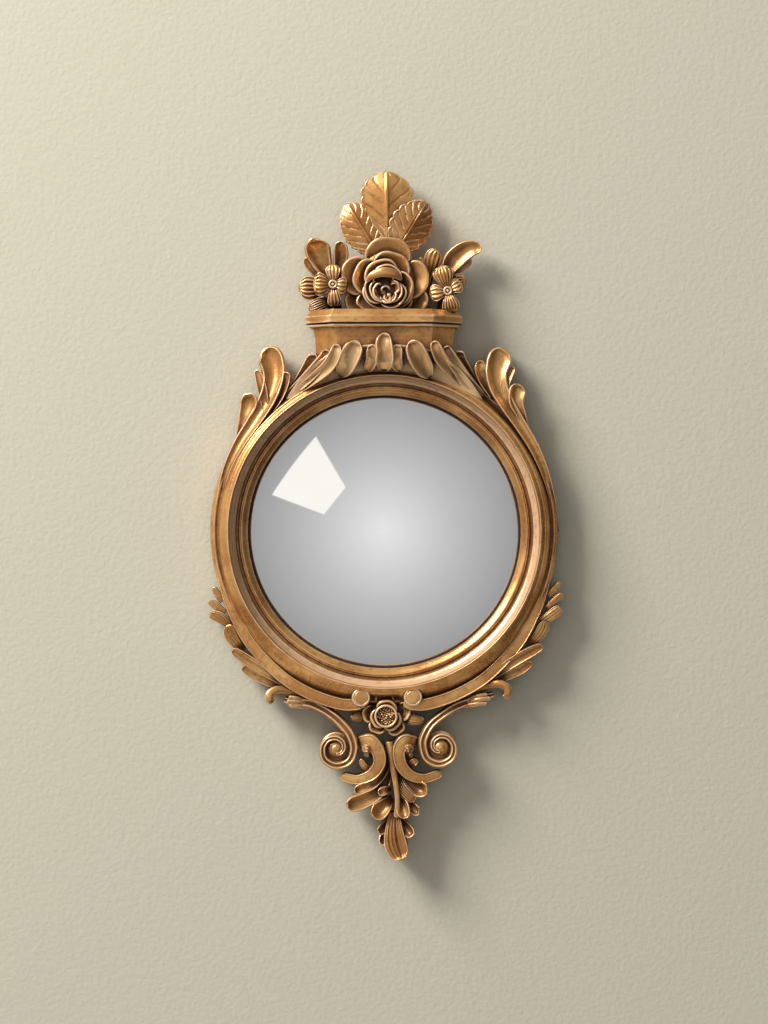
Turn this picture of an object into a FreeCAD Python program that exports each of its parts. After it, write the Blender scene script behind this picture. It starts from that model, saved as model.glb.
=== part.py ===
"""Convex butlers mirror: a domed glass in a round gilt moulding with carved crest and apron.

Frame: +Z up, +X to the right as seen from the room, the front faces -Y, the wall is the plane Y = 0.
The origin is on the wall plane, on the axis of the round glass.  "Depth" is the distance from the wall.
"""
import FreeCAD
import Part
import math
import os

import Sketcher
from FreeCAD import Placement, Rotation, Vector

os.makedirs("parts", exist_ok=True)
doc = FreeCAD.newDocument("butlers_mirror")

# ---------------------------------------------------------------- driving sizes, millimetres

SIZES = {
    # round moulding
    "ring_radius": 116.6,
    "ring_front": 30.0,
    "sight_radius": 91.3,
    "rebate_radius": 97.0,
    "lip_thickness": 1.7,
    "bead_run": 5.6,
    "bead_rise": 3.6,
    "groove_run": 2.4,
    "groove_rise": 2.2,
    "cove_run": 4.7,
    "slope_run": 3.2,
    "slope_drop": 2.6,
    "crest_roll_run": 2.2,
    "crest_roll_drop": 1.0,
    "torus_run": 4.4,
    "torus_front": 20.0,
    "torus_edge": 16.0,
    "quirk_run": 1.2,
    "quirk_front": 21.6,
    # stack in the rebate, from the wall towards the room
    "wall_gap": 4.0,
    "board_thickness": 3.0,
    "packing_thickness": 2.0,
    "glass_thickness": 3.0,
    "glass_radius": 96.0,
    "glass_bulge": 17.6,
    "glass_land": 2.0,
    "seal_rim": 2.8,
    "seal_overhang": 1.0,
    "board_clearance": 0.5,
    "bedding_gap": 0.1,
    # turn buttons and wall pads
    "button_pivot_radius": 105.0,
    "button_reach": 13.0,
    "button_half_width": 3.5,
    "button_tip_half_width": 2.6,
    "button_thickness": 1.2,
    "sliding_gap": 0.05,
    "screw_shank": 1.5,
    "screw_head": 2.7,
    "screw_head_height": 1.1,
    "screw_grip": 8.0,
    "pad_radius": 5.0,
    "pad_circle": 107.0,
    # crest block
    "neck_half_width": 47.4,
    "neck_face_half_width": 32.2,
    "neck_waist_inset": 1.7,
    "neck_front": 38.0,
    "neck_height": 19.3,
    "bead_height": 3.0,
    "bead_overhang": 2.3,
    "cap_height": 9.0,
    "cap_overhang": 4.6,
    "cap_weathering": 4.0,
    # hanger
    "plate_half_width": 6.0,
    "plate_foot": 3.0,
    "plate_length": 19.0,
    "plate_thickness": 1.0,
    "plate_screw_spacing": 8.0,
    "plate_screw_inset": 5.0,
    "wire": 1.2,
    "barrel_wall": 0.65,
    "loop_half_width": 10.0,
    "loop_leg": 7.0,
    "loop_corner": 2.2,
    # carvings
    "carving_back": 6.0,
    "apron_back": 7.0,
    "crest_back": 9.0,
    "rose_back": 13.0,
    "rose_radius": 26.0,
    "rose_shift": 0.5,
    "rose_height": 23.5,
    "rose_front": 38.0,
    "rose_cup": 10.0,
    "rose_cup_depth": 9.0,
    "small_rose_radius": 11.5,
    "small_rose_shift": 1.1,
    "small_rose_drop": 5.8,
    "small_rose_front": 26.0,
    "small_rose_cup": 5.4,
    "small_rose_cup_depth": 5.0,
    "flower_radius": 9.5,
    "flower_front": 28.0,
    "flower_eye": 3.4,
    "leaf_thickness": 4.0,
    "rim_knob": 4.3,
    "rim_curl": 6.0,
    "rim_knob_front": 27.0,
    "volute_radius": 12.0,
    "volute_front": 25.0,
    "volute_half_width": 3.0,
}

sheet = doc.addObject("Spreadsheet::Sheet", "Sizes")
for row, (alias, value) in enumerate(SIZES.items(), start=1):
    sheet.set("A%d" % row, alias.replace("_", " "))
    sheet.set("B%d" % row, str(value))
    sheet.setAlias("B%d" % row, alias)
doc.recompute()


class Size:
    """A length that knows its value and the sheet expression that it comes from."""

    def __init__(self, value, text):
        self.value = value
        self.text = text

    def combine(self, other, sign, result):
        text = other.text if isinstance(other, Size) else repr(other)
        return Size(result, "(%s %s %s)" % (self.text, sign, text))

    def __add__(self, other):
        return self.combine(other, "+", self.value + number(other))

    def __sub__(self, other):
        return self.combine(other, "-", self.value - number(other))

    def __mul__(self, other):
        return self.combine(other, "*", self.value * number(other))

    def __truediv__(self, other):
        return self.combine(other, "/", self.value / number(other))

    def __neg__(self):
        return Size(-self.value, "(-%s)" % self.text)


def number(value):
    return value.value if isinstance(value, Size) else value


def size(alias):
    return Size(float(sheet.get(alias)), "Sizes.%s" % alias)


ZERO = Size(0.0, "0")

# ---------------------------------------------------------------- derived sizes

RING = size("ring_radius")
WALL_GAP = size("wall_gap")
BOARD_FRONT = WALL_GAP + size("board_thickness")
GLASS_BACK = BOARD_FRONT + size("packing_thickness")
GLASS_RIM = GLASS_BACK + size("glass_thickness")
GLASS_APEX = GLASS_RIM + size("glass_bulge")
LIP_BACK = GLASS_RIM + size("seal_rim")
LIP_FRONT = LIP_BACK + size("lip_thickness")
NECK_TOP = RING + size("neck_height")
BEAD_TOP = NECK_TOP + size("bead_height")
CAP_TOP = BEAD_TOP + size("cap_height")
SCREW_HOLE = size("screw_shank") + size("sliding_gap")
PLATE_BOTTOM = RING + size("plate_foot")
BARREL_BORE = size("wire") + size("sliding_gap")
BARREL = BARREL_BORE + size("barrel_wall")
BARREL_HEIGHT = PLATE_BOTTOM + size("plate_length") + BARREL
BARREL_DEPTH = WALL_GAP - BARREL

# ---------------------------------------------------------------- document helpers

PIECES = []


def kept(obj, label):
    """Name an object as a finished sub-part and keep it for writing."""
    obj.Label = label
    PIECES.append(obj)
    return obj


def origin_plane(body, role):
    return next(item for item in body.Origin.OriginFeatures if item.Role == role)


def new_sketch(body, name, role, offset=None):
    """A sketch on one of the body's own planes, moved along its normal by offset."""
    sketch = body.newObject("Sketcher::SketchObject", name)
    sketch.AttachmentSupport = [(origin_plane(body, role), "")]
    sketch.MapMode = "FlatFace"
    if offset is not None:
        sketch.AttachmentOffset = Placement(Vector(0, 0, offset.value), Rotation())
        sketch.setExpression("AttachmentOffset.Base.z", offset.text)
    return sketch


def pin_coordinate(sketch, kind, axis, geometry, end, value):
    """Hold one coordinate of a sketch point at a size; a negative one is measured backwards."""
    if abs(value.value) < 1e-9:
        sketch.addConstraint(Sketcher.Constraint("PointOnObject", geometry, end, axis))
    elif value.value > 0:
        at = sketch.addConstraint(Sketcher.Constraint(kind, -1, 1, geometry, end, value.value))
        sketch.setExpression("Constraints[%d]" % at, value.text)
    else:
        at = sketch.addConstraint(Sketcher.Constraint(kind, geometry, end, -1, 1, -value.value))
        sketch.setExpression("Constraints[%d]" % at, (-value).text)


def arc_middle(start, end, radius):
    """Point half way along an arc; a positive radius bulges to the left of start -> end."""
    chord = end - start
    half = chord.Length / 2
    reach = max(abs(radius), half * 1.0001)
    rise = reach - math.sqrt(reach * reach - half * half)
    left = Vector(-chord.y, chord.x, 0).normalize()
    return (start + end) * 0.5 + left * math.copysign(rise, radius)


def closed_profile(sketch, points, arcs=None):
    """Closed outline through points of two Sizes; arcs maps a side's number to its signed radius."""
    arcs = arcs or {}
    spots = [Vector(x.value, y.value, 0) for x, y in points]
    count = len(spots)
    sides = []
    for i in range(count):
        start = spots[i]
        end = spots[(i + 1) % count]
        if i in arcs:
            edge = Part.Arc(start, arc_middle(start, end, arcs[i].value), end)
        else:
            edge = Part.LineSegment(start, end)
        sides.append(sketch.addGeometry(edge, False))
    ends = [side_ends(sketch, side, spots[i]) for i, side in enumerate(sides)]
    for i in range(count):
        after = (i + 1) % count
        sketch.addConstraint(
            Sketcher.Constraint("Coincident", sides[i], ends[i][1], sides[after], ends[after][0])
        )
    for i, (x, y) in enumerate(points):
        pin_coordinate(sketch, "DistanceX", -2, sides[i], ends[i][0], x)
        pin_coordinate(sketch, "DistanceY", -1, sides[i], ends[i][0], y)
    for i, radius in arcs.items():
        at = sketch.addConstraint(Sketcher.Constraint("Radius", sides[i], abs(radius.value)))
        sketch.setExpression("Constraints[%d]" % at, radius.text if radius.value > 0 else (-radius).text)


def side_ends(sketch, side, start):
    """Numbers of a side's first and last point, in the order in which the outline runs."""
    first = sketch.getPoint(side, 1)
    return (1, 2) if first.distanceToPoint(start) < 1e-6 else (2, 1)


def circle_profile(sketch, x, y, radius):
    circle = sketch.addGeometry(Part.Circle(Vector(x.value, y.value, 0), Vector(0, 0, 1), radius.value), False)
    pin_coordinate(sketch, "DistanceX", -2, circle, 3, x)
    pin_coordinate(sketch, "DistanceY", -1, circle, 3, y)
    at = sketch.addConstraint(Sketcher.Constraint("Radius", circle, radius.value))
    sketch.setExpression("Constraints[%d]" % at, radius.text)


def revolved_body(label, points, arcs=None):
    """A body turned about the Y axis from an outline of (radius, depth) points."""
    body = doc.addObject("PartDesign::Body", label)
    sketch = new_sketch(body, label + "_profile", "XY_Plane")
    closed_profile(sketch, [(radius, -depth) for radius, depth in points], arcs)
    turned = body.newObject("PartDesign::Revolution", label + "_turned")
    turned.Profile = sketch
    turned.ReferenceAxis = (sketch, ["V_Axis"])
    turned.Angle = 360
    return body


def pad(body, sketch, name, length, reverse=False):
    feature = body.newObject("PartDesign::Pad", name)
    feature.Profile = sketch
    feature.Length = length.value
    feature.setExpression("Length", length.text)
    feature.Reversed = reverse
    return feature


def cut_pocket(body, sketch, name, length, reverse=False):
    """A pocket that is checked to have removed material."""
    doc.recompute()
    before = body.Shape.Volume
    feature = body.newObject("PartDesign::Pocket", name)
    feature.Profile = sketch
    feature.Length = length.value
    feature.setExpression("Length", length.text)
    feature.Reversed = reverse
    doc.recompute()
    if body.Shape.Volume >= before - 1e-3:
        raise RuntimeError("%s removed nothing" % name)
    return feature


def place(obj, x=ZERO, y=ZERO, z=ZERO, rotation=None):
    """Placement whose base follows the sheet."""
    obj.Placement = Placement(Vector(x.value, y.value, z.value), rotation or Rotation())
    obj.setExpression(".Placement.Base.x", x.text)
    obj.setExpression(".Placement.Base.y", y.text)
    obj.setExpression(".Placement.Base.z", z.text)
    return obj


FORWARD = Rotation(Vector(1, 0, 0), 90)


def disc(name, radius, back, thickness, x=ZERO, z=ZERO):
    """A round disc square to the wall, from its back depth towards the room."""
    cylinder = doc.addObject("Part::Cylinder", name)
    cylinder.Radius = radius.value
    cylinder.setExpression("Radius", radius.text)
    cylinder.Height = thickness.value
    cylinder.setExpression("Height", thickness.text)
    return place(cylinder, x, -back, z, FORWARD)


def joined(name, parts):
    fuse = doc.addObject("Part::MultiFuse", name)
    fuse.Shapes = parts
    return fuse


def without(name, base, tool):
    cut = doc.addObject("Part::Cut", name)
    cut.Base = base
    cut.Tool = tool
    return cut


# ---------------------------------------------------------------- round moulding, glass and back


def frame_ring():
    """Turned moulding: sight edge, groove, cove up to a sharp arris, outer slope and torus."""
    sight = size("sight_radius")
    front = size("ring_front")
    bead = sight + size("bead_run")
    bead_front = LIP_FRONT + size("bead_rise")
    groove_front = LIP_FRONT + size("groove_rise")
    cove = bead + size("groove_run")
    arris = cove + size("cove_run")
    slope = arris + size("slope_run")
    roll = slope + size("crest_roll_run")
    slope_front = front - size("slope_drop")
    roll_front = slope_front - size("crest_roll_drop")
    torus = RING - size("torus_run")
    quirk = torus - size("quirk_run")
    points = [
        (sight, LIP_BACK),
        (sight, LIP_FRONT),
        (bead - size("bead_run") / 4, bead_front - size("bead_rise") / 5),
        (bead, bead_front - size("bead_rise") / 8),
        (bead, groove_front),
        (cove, groove_front),
        (arris, front),
        (slope, slope_front),
        (roll, roll_front),
        (quirk, size("quirk_front")),
        (torus, size("torus_front") - size("quirk_run") / 2),
        (torus, size("torus_front")),
        (RING, size("torus_edge")),
        (RING, WALL_GAP),
        (size("rebate_radius"), WALL_GAP),
        (size("rebate_radius"), LIP_BACK),
    ]
    arcs = {
        1: size("bead_run") * 1.6,
        2: -size("bead_run") / 5,
        5: size("cove_run") * 3.0,
        7: -size("crest_roll_run") * 0.8,
        11: -size("torus_run") * 1.05,
    }
    body = revolved_body("frame_ring", points, arcs)
    holes = new_sketch(body, "pilot_hole", "XZ_Plane", WALL_GAP)
    reach = size("button_pivot_radius") / math.sqrt(2)
    circle_profile(holes, reach, reach, size("screw_shank"))
    pocket = cut_pocket(body, holes, "pilot", size("screw_grip"), True)
    doc.recompute()
    pattern = body.newObject("PartDesign::PolarPattern", "pilots")
    pattern.Originals = [pocket]
    pattern.Axis = (origin_axis(body, "Y_Axis"), [""])
    pattern.Angle = 360
    pattern.Occurrences = BUTTON_COUNT
    body.Tip = pattern
    return kept(body, "frame_ring")


def origin_axis(body, role):
    return next(item for item in body.Origin.OriginFeatures if item.Role == role)


def dome_radius(base_radius, rise):
    """Radius of the sphere that rises by rise over a circle of base_radius."""
    return (base_radius * base_radius + rise * rise) / (rise * 2)


def convex_glass():
    radius = size("glass_radius")
    bulge = size("glass_bulge")
    land = radius - size("glass_land")
    points = [
        (ZERO, GLASS_APEX),
        (radius, GLASS_RIM),
        (radius, GLASS_BACK),
        (land, GLASS_BACK),
        (ZERO, GLASS_BACK + bulge),
    ]
    arcs = {0: -dome_radius(radius, bulge), 3: dome_radius(land, bulge)}
    return kept(revolved_body("convex_glass", points, arcs), "convex_glass")


def dome_depth(radius):
    """Depth of the glass's front face at a radius, as a number."""
    sphere = number(dome_radius(size("glass_radius"), size("glass_bulge")))
    return GLASS_APEX.value - sphere + math.sqrt(sphere * sphere - radius * radius)


def glazing_seal():
    """Thin black seal between the glass and the sight edge, its back bedded on the dome."""
    outer = size("rebate_radius").value - size("bedding_gap").value
    inner = size("sight_radius").value - size("seal_overhang").value
    gap = size("bedding_gap").value
    middle = (outer + inner) / 2
    front = LIP_BACK.value
    corner = Vector(outer, -dome_depth(size("glass_radius").value) - gap, 0)
    heel = Vector(size("glass_radius").value, corner.y, 0)
    bend = Vector(middle, -dome_depth(middle) - gap, 0)
    toe = Vector(inner, -dome_depth(inner) - gap, 0)
    edges = [
        Part.LineSegment(corner, heel),
        Part.Arc(heel, bend, toe),
        Part.LineSegment(toe, Vector(inner, -front, 0)),
        Part.LineSegment(Vector(inner, -front, 0), Vector(outer, -front, 0)),
        Part.LineSegment(Vector(outer, -front, 0), corner),
    ]
    face = Part.Face(Part.Wire([edge.toShape() for edge in edges]))
    return carved("glazing_seal", face.revolve(Vector(0, 0, 0), Vector(0, 1, 0), 360))


def carved(label, shape):
    """A finished sub-part whose solid is worked out from the sheet."""
    feature = doc.addObject("Part::Feature", label)
    feature.Shape = shape
    feature.Placement = Placement()
    return kept(feature, label)


def backboard():
    radius = size("rebate_radius") - size("board_clearance")
    return kept(disc("backboard", radius, WALL_GAP, size("board_thickness")), "backboard")


def packing_disc():
    radius = size("glass_radius")
    return kept(disc("packing_disc", radius, BOARD_FRONT, size("packing_thickness")), "packing_disc")


BUTTON_COUNT = 4
BUTTON_BACK = WALL_GAP - size("button_thickness") - size("sliding_gap")


def button_angle(index):
    return math.radians(45 + 360 / BUTTON_COUNT * index)


def turn_button(index):
    """Brass turn button: a tapered tongue with its pivot hole; it lies across the backboard's edge."""
    label = "turn_button_%d" % (index + 1)
    wide = size("button_half_width")
    narrow = size("button_tip_half_width")
    tip = size("button_reach") - narrow
    body = doc.addObject("PartDesign::Body", label)
    outline = new_sketch(body, label + "_outline", "XZ_Plane")
    points = [(ZERO, wide), (-tip, narrow), (-tip, -narrow), (ZERO, -wide)]
    closed_profile(outline, points, {1: -narrow * 1.0001, 3: -wide * 1.0001})
    pad(body, outline, label + "_plate", size("button_thickness"))
    hole = new_sketch(body, label + "_hole", "XZ_Plane")
    circle_profile(hole, ZERO, ZERO, SCREW_HOLE)
    cut_pocket(body, hole, label + "_bore", size("button_thickness"), True)
    angle = button_angle(index)
    pivot = size("button_pivot_radius")
    turn = Rotation(Vector(0, 1, 0), -math.degrees(angle))
    place(body, pivot * math.cos(angle), -BUTTON_BACK, pivot * math.sin(angle), turn)
    return kept(body, label)


def screw(name, head_back, x, z, head_gap):
    """Pan-head screw square to the wall: head towards the wall, shank into the wood."""
    head = disc(name + "_head", size("screw_head"), head_back, size("screw_head_height"), x, z)
    shank_back = head_back + size("screw_head_height")
    length = WALL_GAP - shank_back + size("screw_grip")
    shank = disc(name + "_shank", size("screw_shank"), shank_back, length, x, z)
    slot = doc.addObject("Part::Box", name + "_slot")
    slot.Length = head_gap.value * 20
    slot.Width = head_gap.value * 5
    slot.Height = head_gap.value * 7
    place(slot, x - head_gap * 10, -head_back - head_gap * 5, z - head_gap * 3.5)
    return without(name, joined(name + "_blank", [head, shank]), slot)


def turn_button_screws():
    pivot = size("button_pivot_radius")
    head_back = BUTTON_BACK - size("sliding_gap") - size("screw_head_height")
    screws = []
    for index in range(BUTTON_COUNT):
        angle = button_angle(index)
        x = pivot * math.cos(angle)
        z = pivot * math.sin(angle)
        screws.append(screw("button_screw_%d" % (index + 1), head_back, x, z, SLOT_GAUGE))
    return kept(grouped("turn_button_screws", screws), "turn_button_screws")


SLOT_GAUGE = size("screw_head_height") / 10


def grouped(name, parts):
    """Separate solids that share one node."""
    group = doc.addObject("Part::Compound", name)
    group.Links = parts
    return group


def wall_bumpers():
    """Felt pads that keep the ring off the wall."""
    circle = size("pad_circle")
    pads = []
    for index in range(BUTTON_COUNT):
        angle = math.radians(360 / BUTTON_COUNT * index)
        x = circle * math.cos(angle)
        z = circle * math.sin(angle)
        pads.append(disc("pad_%d" % (index + 1), size("pad_radius"), ZERO, WALL_GAP, x, z))
    return kept(grouped("wall_bumpers", pads), "wall_bumpers")


# ---------------------------------------------------------------- crest block


def canted_plan(half_width, face_half_width, front):
    """Plan of the crest block: flat front, canted corners, straight sides back to the wall side."""
    side = front - (half_width - face_half_width)
    return [
        (half_width, -WALL_GAP),
        (half_width, -side),
        (face_half_width, -front),
        (-face_half_width, -front),
        (-half_width, -side),
        (-half_width, -WALL_GAP),
    ]


def crest_neck():
    """Waisted canted block, scribed to the ring's outer edge and drilled for the hanger's screws."""
    half = size("neck_half_width")
    face = size("neck_face_half_width")
    front = size("neck_front")
    inset = size("neck_waist_inset")
    height = size("neck_height")
    body = doc.addObject("PartDesign::Body", "crest_neck")
    levels = [
        (NECK_TOP, ZERO),
        (NECK_TOP - height * 0.35, inset * 0.75),
        (NECK_TOP - height * 0.75, inset),
        (NECK_TOP - height * 1.1, inset * 0.9),
        (RING - half / 3.2, inset * 0.6),
    ]
    sketches = []
    for step, (level, shrink) in enumerate(levels):
        sketch = new_sketch(body, "neck_level_%d" % step, "XY_Plane", level)
        closed_profile(sketch, canted_plan(half - shrink, face - shrink * 0.5, front - shrink))
        sketches.append(sketch)
    doc.recompute()
    loft = body.newObject("PartDesign::AdditiveLoft", "neck_loft")
    loft.Profile = sketches[0]
    loft.Sections = sketches[1:]
    loft.Ruled = True
    scribe = new_sketch(body, "neck_scribe", "XZ_Plane")
    circle_profile(scribe, ZERO, ZERO, RING)
    cut_pocket(body, scribe, "neck_seat", front * 2, True)
    pilots = new_sketch(body, "neck_pilots", "XZ_Plane", WALL_GAP)
    for height_up in plate_screw_heights():
        circle_profile(pilots, ZERO, height_up, size("screw_shank"))
    cut_pocket(body, pilots, "neck_holes", size("screw_grip"), True)
    return kept(body, "crest_neck")


def plate_screw_heights():
    low = PLATE_BOTTOM + size("plate_screw_inset")
    return [low, low + size("plate_screw_spacing")]


def moulding_slab(label, bottom, height, overhang):
    """A canted slab that oversails the neck by overhang all round."""
    body = doc.addObject("PartDesign::Body", label)
    sketch = new_sketch(body, label + "_plan", "XY_Plane", bottom)
    half = size("neck_half_width") + overhang
    face = size("neck_face_half_width") + overhang * 0.42
    closed_profile(sketch, canted_plan(half, face, size("neck_front") + overhang))
    pad(body, sketch, label + "_slab", height)
    doc.recompute()
    return body


def front_edges(shape, level):
    """Names of the level edges at a height that aren't on the wall side."""
    names = []
    for number_of, edge in enumerate(shape.Edges, start=1):
        box = edge.BoundBox
        flat = abs(box.ZMin - level) < 0.01 and abs(box.ZMax - level) < 0.01
        if flat and box.YMin < -WALL_GAP.value - 0.01:
            names.append("Edge%d" % number_of)
    return names


def crest_bead():
    body = moulding_slab("crest_bead", NECK_TOP, size("bead_height"), size("bead_overhang"))
    levels = (NECK_TOP.value, BEAD_TOP.value)
    edges = [name for level in levels for name in front_edges(body.Shape, level)]
    slab = body.Tip
    rounding = body.newObject("PartDesign::Fillet", "bead_round")
    rounding.Base = (slab, edges)
    rounding.Radius = (size("bead_height") * 0.45).value
    rounding.setExpression("Radius", (size("bead_height") * 0.45).text)
    return kept(body, "crest_bead")


def crest_cap():
    body = moulding_slab("crest_cap", BEAD_TOP, size("cap_height"), size("cap_overhang"))
    edges = front_edges(body.Shape, CAP_TOP.value)
    slab = body.Tip
    slope = body.newObject("PartDesign::Chamfer", "cap_weathering")
    slope.Base = (slab, edges)
    slope.Size = size("cap_weathering").value
    slope.setExpression("Size", size("cap_weathering").text)
    return kept(body, "crest_cap")


# ---------------------------------------------------------------- hanger on the back of the neck


def hanger_plate():
    """Strap hanger: a screwed plate rolled over at its top into a barrel for the loop's bar."""
    body = doc.addObject("PartDesign::Body", "hanger_plate")
    half = size("plate_half_width")
    length = size("plate_length") + BARREL
    depth = WALL_GAP - size("plate_thickness")
    outline = new_sketch(body, "plate_outline", "XZ_Plane", depth)
    points = [(half, ZERO), (half, length), (-half, length), (-half, ZERO)]
    closed_profile(outline, points)
    pad(body, outline, "plate_strap", size("plate_thickness"))
    barrel = new_sketch(body, "plate_barrel", "YZ_Plane", -half)
    circle_profile(barrel, -BARREL_DEPTH, length, BARREL)
    pad(body, barrel, "plate_roll", half * 2)
    bore = new_sketch(body, "plate_bore", "YZ_Plane", -half)
    circle_profile(bore, -BARREL_DEPTH, length, BARREL_BORE)
    cut_pocket(body, bore, "plate_tunnel", half * 2, True)
    holes = new_sketch(body, "plate_holes", "XZ_Plane", depth)
    for height_up in plate_screw_heights():
        circle_profile(holes, ZERO, height_up - PLATE_BOTTOM, SCREW_HOLE)
    cut_pocket(body, holes, "plate_screw_holes", size("plate_thickness"), True)
    place(body, z=PLATE_BOTTOM)
    return kept(body, "hanger_plate")


def hanger_screws():
    head_back = WALL_GAP - size("plate_thickness") - size("screw_head_height")
    screws = []
    for index, height_up in enumerate(plate_screw_heights()):
        screws.append(screw("plate_screw_%d" % (index + 1), head_back, ZERO, height_up, SLOT_GAUGE))
    return kept(grouped("hanger_screws", screws), "hanger_screws")


def wire_run(name, length, x, z, rotation):
    """A straight stretch of the loop's wire."""
    run = doc.addObject("Part::Cylinder", name)
    run.Radius = size("wire").value
    run.setExpression("Radius", size("wire").text)
    run.Height = length.value
    run.setExpression("Height", length.text)
    return place(run, x, -BARREL_DEPTH, z, rotation)


def wire_bend(name, radius, start, sweep, x, z):
    """A bent stretch of the loop's wire; its angles run from +X up towards +Z."""
    bend = doc.addObject("Part::Torus", name)
    bend.Radius1 = radius.value
    bend.setExpression("Radius1", radius.text)
    bend.Radius2 = size("wire").value
    bend.setExpression("Radius2", size("wire").text)
    bend.Angle3 = sweep
    return place(bend, x, -BARREL_DEPTH, z, FORWARD.multiply(Rotation(Vector(0, 0, 1), start)))


def hanger_ring():
    """D-shaped wire loop: a straight bar in the barrel, two legs and a half-round head."""
    half = size("loop_half_width")
    corner = size("loop_corner")
    reach = half - corner
    low = BARREL_HEIGHT + corner
    high = BARREL_HEIGHT + size("loop_leg")
    upright = Rotation()
    level = Rotation(Vector(0, 1, 0), 90)
    parts = [
        wire_run("loop_bar", reach * 2, -reach, BARREL_HEIGHT, level),
        wire_run("loop_leg_left", high - low, -half, low, upright),
        wire_run("loop_leg_right", high - low, half, low, upright),
        wire_bend("loop_corner_left", corner, 180, 90, -reach, low),
        wire_bend("loop_corner_right", corner, 270, 90, reach, low),
        wire_bend("loop_head", half, 0, 180, ZERO, high),
    ]
    return kept(joined("hanger_ring", parts), "hanger_ring")


# ---------------------------------------------------------------- carved lobes


def spot(x, z, depth):
    return Vector(x, -depth, z)


def lobe_section(x, z, across, half_width, back, front, crown):
    """One cross-section of a lobe: flat back, square sides, a hollow or crowned front."""
    edge = front - max(crown, 0.0)
    left = (x - across[0] * half_width, z - across[1] * half_width)
    right = (x + across[0] * half_width, z + across[1] * half_width)
    foot = spot(left[0], left[1], back)
    shoulder = spot(left[0], left[1], edge)
    middle = spot(x, z, edge + crown)
    far_shoulder = spot(right[0], right[1], edge)
    far_foot = spot(right[0], right[1], back)
    sides = [
        Part.LineSegment(foot, shoulder),
        Part.Arc(shoulder, middle, far_shoulder),
        Part.LineSegment(far_shoulder, far_foot),
        Part.LineSegment(far_foot, foot),
    ]
    return Part.Wire([side.toShape() for side in sides])


def lobe(stations, back, crown):
    """Loft through (x, z, half width, front) stations; crown is the front's bow over its half width."""
    wires = []
    last = len(stations) - 1
    for i, (x, z, half_width, front) in enumerate(stations):
        before = stations[max(i - 1, 0)]
        after = stations[min(i + 1, last)]
        run = math.hypot(after[0] - before[0], after[1] - before[1])
        across = ((before[1] - after[1]) / run, (after[0] - before[0]) / run)
        wires.append(lobe_section(x, z, across, half_width, back, front, crown * half_width))
    return Part.makeLoft(wires, True, False)


def on_rim(angle, outset, half_width, front):
    """Station on the ring: angle from +X, distance outside the ring's outer edge."""
    reach = RING.value + outset
    return (reach * math.cos(math.radians(angle)), reach * math.sin(math.radians(angle)), half_width, front)


def over_cap(x, rise, half_width, front):
    return (x, CAP_TOP.value + rise, half_width, front)


def under_ring(x, drop, half_width, front):
    return (x, -RING.value - drop, half_width, front)


def spray(lobes, station, back, crown):
    """Several lobes carved from one block."""
    solids = [lobe([station(*values) for values in stations], back, crown) for stations in lobes]
    return melt(solids)


def melt(solids):
    if len(solids) == 1:
        return solids[0]
    return solids[0].multiFuse(solids[1:])


# ways to trim a carving to its carrier: tolerance, growth of the carrier's copy
CUT_WAYS = [(0.001, 0.0), (0.0, 0.0), (0.001, 0.0005), (0.0, 0.001), (0.01, 0.001), (0.001, 0.002)]


def trimmed(shape, carrier):
    """The shape outside a carrier, in the first way that leaves a sound solid clear of it."""
    if not shape.BoundBox.intersect(carrier.Shape.BoundBox):
        return shape
    for tolerance, growth in CUT_WAYS:
        tool = carrier.Shape
        if growth:
            tool = tool.scaled(1 + growth, tool.BoundBox.Center)
        rest = shape.cut((tool,), tolerance)
        if rest.Solids and rest.isValid() and clear(shape, rest, tool):
            return rest
    raise RuntimeError("no clean cut by %s" % carrier.Label)


def clear(before, after, tool):
    """Whether a cut took its share away, or had nothing to take."""
    if after.Volume < before.Volume * 0.9999:
        return True
    return before.common(tool).Volume < before.Volume * 0.0005


def seated(shape, carriers):
    """The carving trimmed to the pieces that carry it, as its largest solid."""
    for carrier in carriers:
        shape = trimmed(shape, carrier)
    return max(shape.Solids, key=lambda solid: solid.Volume)


def rim_piece(label, lobes, crown, carriers):
    """Carving that lies along the ring's outer edge."""
    return carved(label, seated(spray(lobes, on_rim, size("carving_back").value, crown), carriers))


def crest_piece(label, lobes, crown, carriers, lift=0.0):
    """Carving that stands on the cap; lift brings its back towards the room."""
    solid = spray(lobes, over_cap, size("crest_back").value + lift, crown)
    return carved(label, seated(solid, carriers))


def apron_piece(label, lobes, crown, carriers):
    """Carving that hangs below the ring."""
    return carved(label, seated(spray(lobes, under_ring, size("apron_back").value, crown), carriers))


HOLLOW = -0.22
FLUTED = -0.35
ROUND = 0.5

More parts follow.
